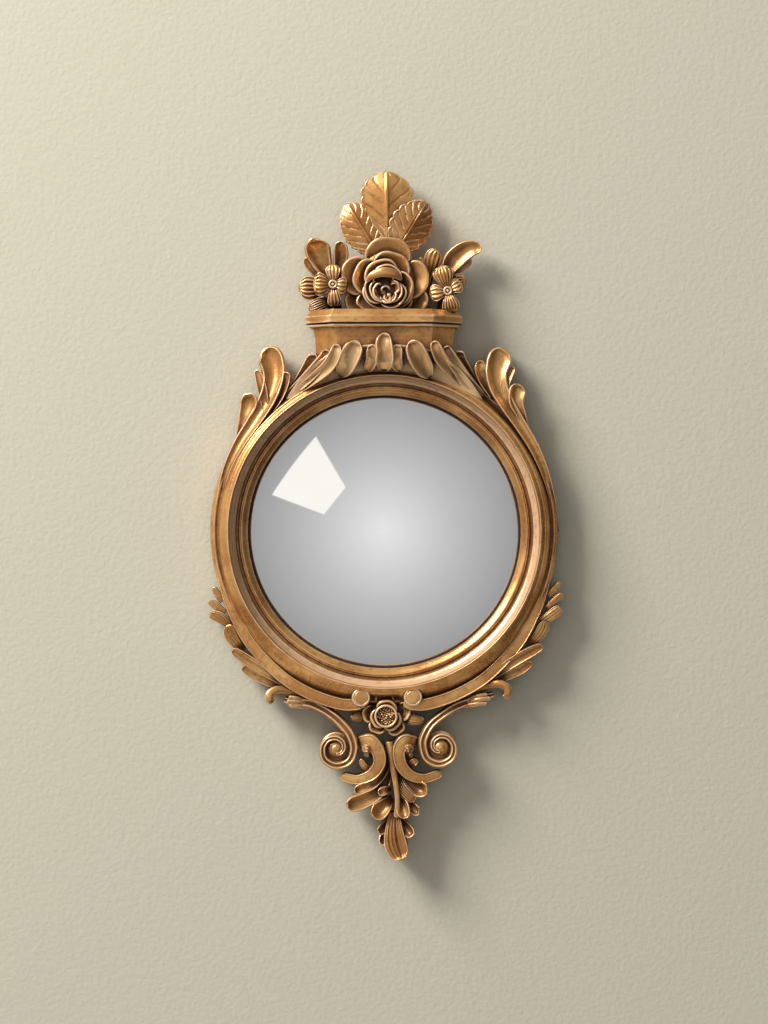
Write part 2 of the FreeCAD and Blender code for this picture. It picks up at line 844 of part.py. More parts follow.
SHOULDER_LEFT = [
    [(167.5, -4, 0.6, 21), (159, -1, 2, 24), (150, 0, 3.5, 26), (140, 0.5, 4.5, 27), (132.5, 3, 5.5, 28),
     (127, 8.5, 6.5, 29), (124, 17, 8, 31), (123, 25, 8.5, 34), (123, 29.5, 4.5, 36)],
    [(133.5, 0.5, 2, 25), (130.5, 9.5, 3, 27), (129, 17, 2.5, 29), (128, 21.5, 1.5, 30)],
    [(134, -5.5, 2, 25), (128.5, -1, 3, 26), (124, 4.5, 3, 28), (121.5, 8.5, 2, 30)],
    [(145, 1, 1.5, 22), (139.5, 5.5, 3.5, 25), (136, 9, 6, 28), (134.5, 14, 4.5, 31)],
]
SHOULDER_RIGHT = [
    [(10.5, -3, 0.6, 21), (18.5, -1.5, 2, 24), (27, -1.5, 3.5, 26), (36, -1.5, 4, 27), (43.5, 0, 4.5, 28),
     (50, 3.5, 5.5, 28), (54.5, 10, 6.5, 30), (56, 20.5, 8, 32), (56.5, 28.5, 9, 34), (57, 32.5, 5.5, 36)],
    [(48.5, 4.5, 2, 25), (51, 11, 3, 27), (52, 18.5, 3, 29), (52, 23.5, 2.5, 30)],
    [(52, 0.5, 2, 25), (56.5, 5.5, 3.5, 27), (59.5, 11, 3.5, 29), (60.5, 15, 2.5, 30)],
    [(36, 0.5, 1.5, 22), (41, 3.5, 3, 25), (44.5, 7.5, 4.5, 28), (47, 13.5, 5.5, 31), (47.5, 16.5, 4, 32)],
]
FRIEZE = [
    [(56, -4.5, 2.5, 21), (64, -4, 4, 24), (77, -4, 5, 28), (90, -4, 5.5, 29), (103, -4, 5, 28), (116, -4, 4, 24),
     (124, -4.5, 2.5, 21)],
    [(90, -7.5, 5.5, 30), (90, 0.5, 5, 38), (90, 10, 5.5, 41), (89, 16.5, 3, 43)],
    [(95.5, -8.5, 2.5, 30), (94, -2, 3, 37), (94, 4, 3, 40), (94, 7, 2, 41)],
    [(85.5, -8.5, 2.5, 30), (86.5, -2, 3, 37), (86, 4, 3, 40), (86, 7, 2, 41)],
    [(104, -5.5, 3.5, 28), (101.5, 1, 5, 37), (99.5, 6.5, 5.5, 40), (98, 10, 3, 42)],
    [(75.5, -6.5, 3.5, 28), (78.5, 0, 5, 37), (80.5, 6.5, 5.5, 40), (82, 11, 3, 42)],
    [(120, -4.5, 2, 22), (114, -4, 2.5, 27), (108.5, -0.5, 3, 34), (105.5, 5.5, 3, 38), (104, 11, 2.5, 40)],
    [(63, -3, 2, 22), (68, 0, 2.5, 27), (71.5, 4, 3, 34), (74, 9.5, 3, 38), (75, 13.5, 2.5, 40)],
    [(123, -4.5, 2, 20), (118, -2, 3.5, 23), (113, 1, 3.5, 27), (109.5, 5, 3.5, 33), (108, 9, 2, 37)],
    [(56.5, -3.5, 2, 20), (62, -1, 3.5, 23), (66.5, 3, 3.5, 27), (69.5, 8.5, 3.5, 33), (71.5, 13, 2, 37)],
    [(120, -1.5, 1.5, 18), (115.5, 3.5, 3, 21), (112.5, 9, 4, 24), (112, 12, 2.5, 25)],
    [(59, -1, 1.5, 18), (63, 4.5, 3, 21), (66.5, 10, 4, 24), (67, 14, 3, 25)],
]
SPRIG_LEFT = [
    [(195, 0.5, 1, 19), (202, 1, 2, 21), (210, 1.5, 2.5, 22), (218, 1.5, 2.5, 22), (225, 0.5, 1.5, 20)],
    [(206, -2, 2, 20), (202.5, 1, 2, 21), (199.5, 2.5, 1.5, 22), (198, 4, 1, 23)],
    [(209, -1, 2.5, 21), (206.5, 3, 2, 22), (203.5, 7, 2, 23), (202, 9.5, 1, 24)],
    [(214, -1, 3, 20), (210.5, 3, 2.5, 21), (207, 7.5, 3.5, 23), (205.5, 12.5, 3, 25)],
    [(222, 0, 3, 20), (219, 3.5, 4, 21), (215.5, 5, 4.5, 23), (212, 4, 3.5, 24)],
]
SPRIG_RIGHT = [
    [(-14, 0.5, 1, 19), (-21, 1, 2, 21), (-28, 1.5, 2.5, 22), (-36, 1.5, 2.5, 22), (-43, 0.5, 1.5, 20)],
    [(-25, -2, 2, 20), (-21, 1, 2, 21), (-18.5, 3.5, 2, 22), (-16.5, 6, 1.5, 23)],
    [(-28, -1, 2.5, 21), (-24.5, 3.5, 2, 22), (-21.5, 6.5, 2, 23), (-19.5, 9, 1.5, 24)],
    [(-33, -1, 3, 20), (-29.5, 3.5, 2.5, 21), (-26, 8.5, 3.5, 23), (-23.5, 12, 3.5, 25)],
    [(-39, 0, 3, 20), (-36.5, 3.5, 3.5, 21), (-33, 5.5, 4, 23), (-30, 5, 3, 24)],
]
LOWER_LEAF_LEFT = [
    [(245, -2.5, 1.5, 20), (236.5, 2.5, 3.5, 22), (231, 5, 5, 24), (225.5, 7.5, 6.5, 25), (221.5, 10.5, 5.5, 27),
     (219.5, 12, 3, 28)],
]
LOWER_LEAF_RIGHT = [
    [(-63, -2.5, 1.5, 20), (-54, 2, 3.5, 22), (-48, 4.5, 5, 24), (-43, 7.5, 6, 25), (-39, 11, 5.5, 27),
     (-37, 13.5, 3.5, 28)],
]
HOOK_LEFT = [
    [(247, -2.5, 2, 18), (244.5, 1.5, 2, 19), (241, 5, 2, 20), (236.5, 10.5, 2, 22), (234.5, 16, 2.4, 23),
     (235.6, 20, 1.8, 23)],
]
HOOK_RIGHT = [
    [(-67, -2.5, 2, 18), (-64.5, 1.5, 2, 19), (-60, 6, 2, 20), (-54, 10.5, 2.2, 22), (-51.6, 16, 2.5, 23),
     (-52.8, 20.4, 1.8, 23)],
]
# band along the lower edge: angle from straight down, outset, half width, front
RIM_KNOB_SHIFT = 4.0
RIM_SCROLL = [
    (74, -3.6, 3.8, 20.6), (61, -2.0, 4, 21), (50, 0, 4, 22), (36, 1.2, 4, 23), (25, 2, 4, 24), (15, 2.4, 4, 25),
    (8, 0.5, 3.8, 25),
]

# crest pieces stand on the cap: x, height above the cap, half width, front
CUP_LEAF_LEFT = [
    [(-32.3, -3, 3, 16), (-36, 12, 3.5, 16), (-38, 23.5, 3.5, 16), (-41.5, 32, 6.5, 17), (-45, 40.5, 8.5, 20),
     (-46, 46.5, 7, 23)],
    [(-40, 20, 1.5, 14), (-44, 25, 2, 14), (-48, 29.5, 3, 15), (-51.5, 34.5, 2, 17)],
]
SMALL_LEAF_LEFT = [
    [(-26.2, -3, 3, 15), (-31, 14, 3, 15), (-33, 28, 3, 15), (-31, 35.5, 4.5, 16), (-30, 41.5, 4.5, 18),
     (-32, 45.5, 2.5, 20)],
]
PETAL_LEFT = [[(-36, 14, 3, 20), (-41, 14.5, 5, 21), (-47, 14.5, 7.5, 23), (-53, 15, 7, 23), (-56.5, 15, 4, 22)]]
LOW_LEAF_LEFT = [[(-33, 6.5, 2, 22), (-38, 5.5, 3, 23), (-43, 4, 3.8, 24), (-47.5, 2.5, 3.5, 24), (-50, 2, 2, 23)]]
TONGUE_LEAF_RIGHT = [
    [(23.2, -3, 3, 15), (27.5, 13, 3, 15), (30, 24, 3, 15), (31.5, 31.5, 5, 17), (34, 37.5, 5, 19), (35.5, 40.5, 3, 20)],
]
HORN_LEAF_RIGHT = [
    [(35.3, -3, 3, 16), (39, 12, 3.2, 16), (41.5, 24, 3.5, 17), (44.5, 31.5, 5.5, 19), (50.5, 37.5, 6.5, 22),
     (58, 40.5, 5.5, 25), (64.5, 41, 3, 27)],
]
PETAL_RIGHT = [[(42, 17, 2.5, 20), (46, 18, 4, 21), (50, 19, 5.5, 22), (54, 19.5, 4, 22)]]
BUD_RIGHT = [[(27, 20, 2, 15), (26.5, 25.5, 2, 15), (25, 30.5, 2.5, 16), (24.5, 35, 1.5, 16)]]

# rose leaves behind the large rose: foot and tip as x and height above the cap, half width
SERRATED_LEAVES = [
    ("crest_leaf_top", (2.5, 46.5), (2.5, 92.0), 15.5),
    ("crest_leaf_left", (-6.5, 44.0), (-26.0, 71.5), 12.5),
    ("crest_leaf_right", (10.5, 45.5), (26.5, 73.0), 12.5),
]
FLOWER_LEFT = (-34.0, 17.0)
FLOWER_RIGHT = (42.5, 12.5)
PETAL_LIFT = 4.0
# rows of petals: how many, turn of the first, share of the rose's radius, lift of the front
ROSE_ROWS = [(6, 30, 1.0, 0.0), (5, 50, 0.72, 4.0)]
SMALL_ROSE_ROWS = [(5, 18, 1.0, 0.0), (5, 54, 0.78, 2.0)]

# apron pieces hang from the ring: x, distance below the ring, half width, front
APRON_LEAF_LEFT = [[(-8, 6, 2, 19), (-13, 6.6, 2.8, 20), (-17, 7.2, 2.6, 20), (-21.5, 7, 1, 19)]]
APRON_LEAF_RIGHT = [[(9, 8, 2.4, 19), (14, 8.2, 3.2, 20), (20, 8.2, 3.2, 20), (25.5, 8.8, 1, 19)]]
VOLUTE_STEM_LEFT = [
    (-65, -4, 1.6, 18), (-60, -2.6, 3, 19), (-50.2, -2.1, 3.4, 21), (-41.9, 1.5, 3, 22), (-34.1, 6.5, 3.1, 23.5),
    (-27.5, 12.6, 3.2, 24.5), (-22, 20, 3.1, 25),
]
VOLUTE_STEM_RIGHT = [
    (69, -9, 1.6, 18), (62, -4.4, 3, 19), (48.1, 0, 3.2, 21), (38.8, 5.9, 3, 22.5), (31.2, 11.9, 2.9, 24),
    (26.4, 19.5, 3, 25),
]
VOLUTE_STEPS = 14
VOLUTE_EYE_LEFT = (-32, 28.3)
VOLUTE_EYE_RIGHT = (36.6, 27.8)
SCROLL_LEFT = [
    [(-20.5, 23, 2.4, 21), (-15, 23.5, 3, 22), (-9, 24, 5, 24), (-4, 29.5, 4.5, 25), (-3.5, 38, 4.5, 25),
     (-9, 45.5, 4, 24), (-17.5, 49, 3.4, 22), (-25.5, 47.6, 3.4, 21), (-29, 46.4, 2.6, 20)],
]
SCROLL_RIGHT = [
    [(24.8, 23.5, 2.4, 21), (19, 24, 3, 22), (13.5, 24, 5, 24), (10, 30, 4.5, 25), (11.5, 39.5, 4, 25),
     (17, 45.5, 3.5, 24), (26, 47.5, 3.4, 22), (34, 46.4, 3.4, 21), (38, 45, 2.6, 20)],
]
PENDANT = [
    [(3.5, 25.5, 2.5, 16), (4.5, 39, 2.5, 20), (6, 52, 3.5, 22), (7, 63.5, 3.5, 22), (7, 73, 3.5, 20)],
    [(3, 33.5, 1.5, 16), (-1, 43, 2.5, 19), (-7.5, 50, 3, 21), (-15.5, 54, 3.5, 22), (-20, 55, 2.5, 22)],
    [(4, 43.5, 2, 16), (-1.5, 53.5, 3.5, 19), (-9.5, 60, 4.5, 22), (-19, 64, 5, 24), (-25, 65, 3.5, 25)],
    [(4.5, 62, 2, 16), (0.5, 66, 4.5, 20), (-4, 70, 6.5, 23), (-8.5, 72.5, 4, 24)],
    [(8.5, 41, 2, 16), (12.5, 49.5, 3.5, 19), (18, 55, 5.5, 22), (25, 54.5, 6, 24), (29, 54, 4.5, 25)],
    [(10, 58, 2, 16), (15, 65, 3.5, 19), (20.5, 69.5, 3.5, 21), (23, 70, 2, 21)],
    [(9, 60, 2, 18), (11.5, 66, 4.5, 22), (13, 71, 4, 24), (13, 74, 2.5, 24)],
]
PENDANT_TIP = [
    [(7, 72, 3.5, 18), (6.5, 82, 5.5, 20), (7.5, 91.5, 7, 21), (10, 98, 5.5, 22), (11, 101, 3.5, 22)],
    [(4.5, 77, 2.5, 17), (0, 81.5, 3.5, 19), (-4, 83.5, 2.5, 21)],
    [(3, 82, 2.5, 17), (0.5, 89, 4, 19), (0, 92, 2.5, 20)],
    [(10, 77, 2.5, 17), (14.5, 82, 4, 19), (18, 86, 3.5, 21)],
    [(11, 86, 2.5, 16), (13, 91, 2.5, 18), (14, 93, 1.5, 19)],
]


# a rose's centre and measures, as sheet sizes
LARGE_ROSE = {
    "x": size("rose_shift"),
    "z": CAP_TOP + size("rose_height"),
    "reach": size("rose_radius"),
    "back": size("rose_back"),
    "front": size("rose_front"),
    "cup": size("rose_cup"),
}
SMALL_ROSE = {
    "x": size("small_rose_shift"),
    "z": -RING - size("small_rose_drop"),
    "reach": size("small_rose_radius"),
    "back": size("apron_back"),
    "front": size("small_rose_front"),
    "cup": size("small_rose_cup"),
}


def serrated_leaf(label, foot, tip, half_width, carriers):
    """Rose leaf: a blade with scalloped edges, a raised midrib and a stalk down to the cap."""
    back = size("crest_back").value
    foot = over_cap(foot[0], foot[1], half_width, back)
    axis = Vector(tip[0] - foot[0], 0, over_cap(tip[0], tip[1], half_width, back)[1] - foot[1])
    across = Vector(-axis.z, 0, axis.x).normalize()
    start = spot(foot[0], foot[1], back)

    def edge_point(along, side):
        swell = math.sin(math.pi * along ** 0.8) ** 0.75
        return start + axis * along + across * (side * half_width * swell)

    notches = [0.12, 0.3, 0.46, 0.62, 0.76, 0.88, 0.97]
    left = [edge_point(along, 1) for along in notches]
    right = [edge_point(along, -1) for along in reversed(notches)]
    outline = [start] + left + [start + axis] + right
    edges = []
    for a, b in zip(outline, outline[1:] + outline[:1]):
        chord = b - a
        outward = chord.cross(Vector(0, 1, 0)).normalize()
        if outward.dot((a + b) * 0.5 - (start + axis * 0.5)) < 0:
            outward = -outward
        edges.append(Part.Arc(a, (a + b) * 0.5 + outward * (chord.Length * 0.2), b).toShape())
    thickness = size("leaf_thickness").value
    blade = Part.Face(Part.Wire(edges)).extrude(Vector(0, -thickness, 0))
    rib_front = back + thickness
    stations = [
        (foot[0] * 0.5, CAP_TOP.value - 3, 3.0, rib_front),
        (foot[0] * 0.8, (CAP_TOP.value + foot[1]) / 2, 2.5, rib_front),
        (foot[0], foot[1], 2.0, rib_front + 1.2),
        (foot[0] + axis.x * 0.5, foot[1] + axis.z * 0.5, 1.2, rib_front + 1.6),
        (foot[0] + axis.x * 0.9, foot[1] + axis.z * 0.9, 0.6, rib_front + 0.8),
    ]
    return carved(label, seated(blade.fuse(lobe(stations, back, ROUND)), carriers))


def radial_lobe(centre, angle, reach, half_width, back, fronts, crown):
    """A petal that runs out from the middle of a flower."""
    shares = [(0.12, 0.5), (0.5, 0.95), (0.82, 1.0), (1.0, 0.55)]
    stations = []
    for (along, wide), front in zip(shares, fronts):
        x = centre[0] + math.cos(angle) * reach * along
        z = centre[1] + math.sin(angle) * reach * along
        stations.append((x, z, half_width * wide, front))
    return lobe(stations, back, crown)


def rose(label, measures, rows, carriers):
    """Open rose: rows of overlapping petals round a socket for its heart."""
    values = {name: measure.value for name, measure in measures.items()}
    centre = (values["x"], values["z"])
    front = values["front"]
    petals = []
    for count, turn, share, lift in rows:
        reach = values["reach"] * share
        half_width = reach * math.tan(math.pi / count) * 0.9
        fronts = [front + lift, front + lift, front + lift * 1.2, front + lift * 0.6]
        for index in range(count):
            angle = math.radians(turn + 360 / count * index)
            petals.append(radial_lobe(centre, angle, reach, half_width, values["back"], fronts, HOLLOW))
    middle = Part.makeCylinder(
        values["cup"] * 1.2, front - values["back"], spot(*centre, values["back"]), Vector(0, -1, 0)
    )
    socket_radius = values["cup"] + size("bedding_gap").value
    socket = Part.makeCylinder(socket_radius, front, spot(*centre, front), Vector(0, -1, 0))
    return carved(label, seated(melt(petals + [middle]).cut(socket), carriers))


def rose_heart(label, measures, depth):
    """Cup of inner petals with a rolled lip, closed by a domed bud."""
    cup = measures["cup"]
    front = measures["front"]
    wall = cup * 0.16
    points = [
        (ZERO, front),
        (cup * 0.8, front),
        (cup - wall * 0.25, front + depth * 0.55),
        (cup - wall * 0.6, front + depth),
        (cup - wall * 1.4, front + depth),
        (cup - wall * 2.4, front + depth * 0.45),
        (cup * 0.5, front + depth * 0.4),
        (ZERO, front + depth * 0.85),
    ]
    bud = dome_radius(cup * 0.5, depth * 0.45)
    arcs = {1: cup * 0.8, 3: wall * 0.6, 4: -cup * 0.7, 6: bud}
    body = revolved_body(label, points, arcs)
    place(body, measures["x"], ZERO, measures["z"])
    return kept(body, label)


def flower(label, centre, carriers):
    """Five-petal flower with a raised eye, on a stalk that runs down to the cap."""
    centre = over_cap(*centre, 0, 0)[:2]
    reach = size("flower_radius").value
    front = size("flower_front").value
    eye = size("flower_eye").value
    back = size("crest_back").value + 6
    petals = []
    for index in range(5):
        angle = math.radians(90 + 72 * index)
        fronts = [front - 1, front, front - 0.5, front - 2]
        petals.append(radial_lobe(centre, angle, reach, reach * 0.58, back + 5, fronts, FLUTED))
    boss = Part.makeCylinder(eye, front + 1 - back, spot(centre[0], centre[1], back), Vector(0, -1, 0))
    seed = Part.makeSphere(eye * 0.6, spot(centre[0], centre[1], front + 1))
    stalk_foot = (centre[0] * 0.92, CAP_TOP.value - 3, 2.4, back + 5)
    stalk = lobe([stalk_foot, (centre[0], centre[1], 2.4, back + 5)], back, ROUND)
    return carved(label, seated(melt(petals + [boss, seed, stalk]), carriers))


def volute(label, eye_spot, stem, side, carriers):
    """Rolled scroll: a band that leaves the ring, winds once and a quarter and ends at an eye."""
    back = size("apron_back").value
    front = size("volute_front").value
    outer = size("volute_radius").value
    half_width = size("volute_half_width").value
    x, depth_below = eye_spot
    z = -RING.value - depth_below
    band = [under_ring(*values) for values in stem]
    for step in range(VOLUTE_STEPS):
        turn = 2 * math.pi * step / 12
        shrink = 1 - 0.45 * step / 12
        across = side * outer * shrink * math.cos(turn)
        down = outer * shrink * math.sin(turn)
        band.append((x - across, z - down, half_width * shrink, front))
    web = Part.makeCylinder(outer * 0.9, (front - back) * 0.7, spot(x, z, back), Vector(0, -1, 0))
    eye = Part.makeCylinder(outer * 0.27, front - back, spot(x, z, back), Vector(0, -1, 0))
    return carved(label, seated(melt([lobe(band, back, ROUND), web, eye]), carriers))


def rim_scroll(label, side, shift, carriers):
    """Round band that swells along the ring's lower edge and rolls up into a knob."""
    x = size("rim_curl").value * 2.5 * side + shift
    z = size("rim_curl").value - RING.value
    back = size("carving_back").value
    depth = size("rim_knob_front").value - back
    curl = Part.makeCylinder(size("rim_curl").value, depth - 3, spot(x, z, back), Vector(0, -1, 0))
    knob = Part.makeCylinder(size("rim_knob").value, depth, spot(x, z, back), Vector(0, -1, 0))
    stations = [on_rim(270 + side * angle, *rest) for angle, *rest in RIM_SCROLL]
    band = lobe(stations, back, ROUND)
    return carved(label, seated(melt([band, curl, knob]), carriers))


# ---------------------------------------------------------------- the assembly

ring = frame_ring()
convex_glass()
glazing_seal()
packing_disc()
backboard()
for number_of_button in range(BUTTON_COUNT):
    turn_button(number_of_button)
turn_button_screws()
wall_bumpers()
neck = crest_neck()
bead = crest_bead()
cap = crest_cap()
hanger_plate()
hanger_screws()
hanger_ring()
doc.recompute()

frieze = rim_piece("frieze_leaves", FRIEZE, FLUTED, [ring, neck, bead])
rim_piece("shoulder_leaf_left", SHOULDER_LEFT, HOLLOW, [ring, neck, frieze])
rim_piece("shoulder_leaf_right", SHOULDER_RIGHT, HOLLOW, [ring, neck, frieze])
LOWER_EDGE_LEFT = [ring, rim_scroll("rim_scroll_left", -1, 0.0, [ring])]
LOWER_EDGE_RIGHT = [ring, rim_scroll("rim_scroll_right", 1, RIM_KNOB_SHIFT, [ring])]
LOWER_EDGE_LEFT.append(rim_piece("side_sprig_left", SPRIG_LEFT, HOLLOW, LOWER_EDGE_LEFT))
LOWER_EDGE_RIGHT.append(rim_piece("side_sprig_right", SPRIG_RIGHT, HOLLOW, LOWER_EDGE_RIGHT))
LOWER_EDGE_LEFT.append(rim_piece("lower_leaf_left", LOWER_LEAF_LEFT, HOLLOW, LOWER_EDGE_LEFT))
LOWER_EDGE_RIGHT.append(rim_piece("lower_leaf_right", LOWER_LEAF_RIGHT, HOLLOW, LOWER_EDGE_RIGHT))
LOWER_EDGE_LEFT.append(rim_piece("hook_curl_left", HOOK_LEFT, ROUND, LOWER_EDGE_LEFT))
LOWER_EDGE_RIGHT.append(rim_piece("hook_curl_right", HOOK_RIGHT, ROUND, LOWER_EDGE_RIGHT))

volute_left = volute("apron_volute_left", VOLUTE_EYE_LEFT, VOLUTE_STEM_LEFT, -1, LOWER_EDGE_LEFT)
volute_right = volute("apron_volute_right", VOLUTE_EYE_RIGHT, VOLUTE_STEM_RIGHT, 1, LOWER_EDGE_RIGHT)
scroll_left = apron_piece("apron_scroll_left", SCROLL_LEFT, ROUND, [volute_left])
scroll_right = apron_piece("apron_scroll_right", SCROLL_RIGHT, ROUND, [volute_right, scroll_left])
APRON = [ring, LOWER_EDGE_LEFT[1], LOWER_EDGE_RIGHT[1], volute_left, volute_right, scroll_left, scroll_right]
APRON.append(rose("apron_rose", SMALL_ROSE, SMALL_ROSE_ROWS, APRON))
rose_heart("apron_rose_heart", SMALL_ROSE, size("small_rose_cup_depth"))
apron_piece("apron_leaf_left", APRON_LEAF_LEFT, HOLLOW, APRON)
apron_piece("apron_leaf_right", APRON_LEAF_RIGHT, HOLLOW, APRON)
pendant = apron_piece("pendant_leaf", PENDANT, HOLLOW, APRON)
apron_piece("pendant_tip", PENDANT_TIP, HOLLOW, [pendant])

CREST = [cap]
for leaf_label, foot, tip, half_width in SERRATED_LEAVES:
    CREST.append(serrated_leaf(leaf_label, foot, tip, half_width, CREST))
CREST.append(rose("crest_rose", LARGE_ROSE, ROSE_ROWS, CREST))
rose_heart("crest_rose_heart", LARGE_ROSE, size("rose_cup_depth"))
CREST.append(crest_piece("crest_cup_leaf_left", CUP_LEAF_LEFT, HOLLOW, CREST))
CREST.append(crest_piece("crest_small_leaf_left", SMALL_LEAF_LEFT, HOLLOW, CREST))
CREST.append(crest_piece("crest_tongue_leaf_right", TONGUE_LEAF_RIGHT, HOLLOW, CREST))
CREST.append(crest_piece("crest_horn_leaf_right", HORN_LEAF_RIGHT, HOLLOW, CREST))
CREST.append(crest_piece("crest_bud_right", BUD_RIGHT, HOLLOW, CREST))
CREST.append(flower("crest_flower_left", FLOWER_LEFT, CREST))
CREST.append(flower("crest_flower_right", FLOWER_RIGHT, CREST))
CREST.append(crest_piece("crest_petal_left", PETAL_LEFT, FLUTED, CREST, PETAL_LIFT))
CREST.append(crest_piece("crest_low_leaf_left", LOW_LEAF_LEFT, FLUTED, CREST, PETAL_LIFT))
crest_piece("crest_petal_right", PETAL_RIGHT, FLUTED, CREST, PETAL_LIFT)

doc.recompute()

# ---------------------------------------------------------------- checks and files


def fault(obj):
    return any(word in state for state in obj.State for word in ("Invalid", "Error"))


faults = [obj.Name for obj in doc.Objects if fault(obj)]
faults += [piece.Label for piece in PIECES if piece.Shape.isNull() or not piece.Shape.isValid()]
if faults:
    raise RuntimeError("not built: %s" % ", ".join(sorted(set(faults))))
for piece in PIECES:
    print("%-26s %d solid(s) %10.1f mm3" % (piece.Label, len(piece.Shape.Solids), piece.Shape.Volume))
    piece.Shape.exportStep("parts/%s.step" % piece.Label)
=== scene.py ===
"""Looks of the convex butlers mirror: carved gilt ornament, round moulding, domed glass and back hardware."""

import math

import bpy
import numpy as np
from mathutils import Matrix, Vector


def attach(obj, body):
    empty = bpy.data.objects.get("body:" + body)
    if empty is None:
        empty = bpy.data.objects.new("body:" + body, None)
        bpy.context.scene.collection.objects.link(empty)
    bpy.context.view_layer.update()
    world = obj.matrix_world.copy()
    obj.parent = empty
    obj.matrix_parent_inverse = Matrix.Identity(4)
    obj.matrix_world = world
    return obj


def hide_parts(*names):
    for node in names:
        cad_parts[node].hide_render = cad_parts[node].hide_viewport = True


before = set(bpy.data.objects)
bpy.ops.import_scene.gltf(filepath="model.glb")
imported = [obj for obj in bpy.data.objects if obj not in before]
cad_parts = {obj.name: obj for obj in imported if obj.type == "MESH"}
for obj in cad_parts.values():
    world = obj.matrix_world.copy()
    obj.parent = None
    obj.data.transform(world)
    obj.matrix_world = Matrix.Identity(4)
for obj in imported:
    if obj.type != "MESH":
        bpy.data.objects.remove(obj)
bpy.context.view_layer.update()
rng = np.random.default_rng(7)

MM = 0.001
# Millimetres to a pixel of the picture, and the pixel that the glass's axis goes through.
PIXEL = 2.0 / 3.0
CENTRE_X = 384.3
CENTRE_Y = 531.8
# Heights and depths in millimetres from the glass's axis and from the wall.
CAP_TOP = 147.9
CREST_BACK = 4.0
CREST_CARVING_BACK = 9.5
RING_BACK = 6.0
APRON_BACK = 7.5
# Where a carving starts to fall away, its slope, and whether it falls away on all sides of the axis.
CREST_LEAN = (22, 0.2, False)
RING_LEAN = (110, 0.32, True)
# Curvature, per metre, at which a point counts as an edge or a hollow.
FULL_EDGE = 900.0


# ---------------- mesh helpers


def from_photo(x, y):
    """Millimetres right of and above the glass axis for a point of the picture."""
    return (x - CENTRE_X) * PIXEL, (CENTRE_Y - y) * PIXEL


def smooth_path(points, run):
    """Catmull-Rom curve through rows of numbers, read at shares of its length."""
    rows = np.asarray(points, float)
    if len(rows) == 2:
        steps = run[:, None]
        return rows[0] * (1 - steps) + rows[1] * steps
    padded = np.vstack([2 * rows[0] - rows[1], rows, 2 * rows[-1] - rows[-2]])
    lengths = np.hypot(*(rows[1:, :2] - rows[:-1, :2]).T)
    knots = np.concatenate([[0], np.cumsum(lengths)])
    places = run * knots[-1]
    spans = np.clip(np.searchsorted(knots, places, side="right") - 1, 0, len(rows) - 2)
    t = ((places - knots[spans]) / np.maximum(lengths[spans], 1e-9))[:, None]
    a, b, c, d = (padded[spans + k] for k in range(4))
    cubic = (3 * b - a - 3 * c + d) * t ** 3
    return 0.5 * (2 * b + (c - a) * t + (2 * a - 5 * b + 4 * c - d) * t ** 2 + cubic)


def ease(value, low, high):
    """Smooth step from 0 at low to 1 at high."""
    t = np.clip((value - low) / (high - low), 0, 1)
    return t * t * (3 - 2 * t)


def grid_faces(rows, columns, wrap_rows=False, wrap_columns=False):
    """Four-sided faces over a grid of points, closed into a ring where it wraps."""
    r = np.arange(rows if wrap_rows else rows - 1)
    c = np.arange(columns if wrap_columns else columns - 1)
    r, c = np.meshgrid(r, c, indexing="ij")
    r1 = (r + 1) % rows
    c1 = (c + 1) % columns
    quads = np.stack([r * columns + c, r * columns + c1, r1 * columns + c1, r1 * columns + c], axis=-1)
    return quads.reshape(-1, 4)


def end_rings(rows, columns):
    """Point numbers of the first and the last row of a grid, which close its ends."""
    return list(range(columns)), list(range((rows - 1) * columns, rows * columns))


def convexity(verts, faces):
    """How far each point stands proud of its neighbours, from -1 in a hollow to 1 on an edge."""
    edges = np.vstack([faces[:, [k, (k + 1) % 4]] for k in range(4)])
    edges = np.vstack([edges, edges[:, ::-1]])
    here = edges[:, 0]
    there = edges[:, 1]
    count = len(verts)
    normals = np.zeros((count, 3))
    cross = np.cross(verts[faces[:, 2]] - verts[faces[:, 0]], verts[faces[:, 3]] - verts[faces[:, 1]])
    for k in range(4):
        np.add.at(normals, faces[:, k], cross)
    normals /= np.maximum(np.linalg.norm(normals, axis=1), 1e-12)[:, None]
    apart = verts[here] - verts[there]
    bend = np.einsum("ij,ij->i", normals[here] - normals[there], apart)
    gap = np.maximum(np.linalg.norm(apart, axis=1), 1e-7)
    neighbours = np.maximum(np.bincount(here, minlength=count), 1)
    value = np.tanh(np.bincount(here, bend / gap ** 2, count) / neighbours / FULL_EDGE)
    for _ in range(4):
        value = 0.5 * value + 0.5 * np.bincount(here, value[there], count) / neighbours
    return value


def add_object(name, data):
    """Object made of its data and put in the scene."""
    made = bpy.data.objects.new(name, data)
    bpy.context.collection.objects.link(made)
    return made


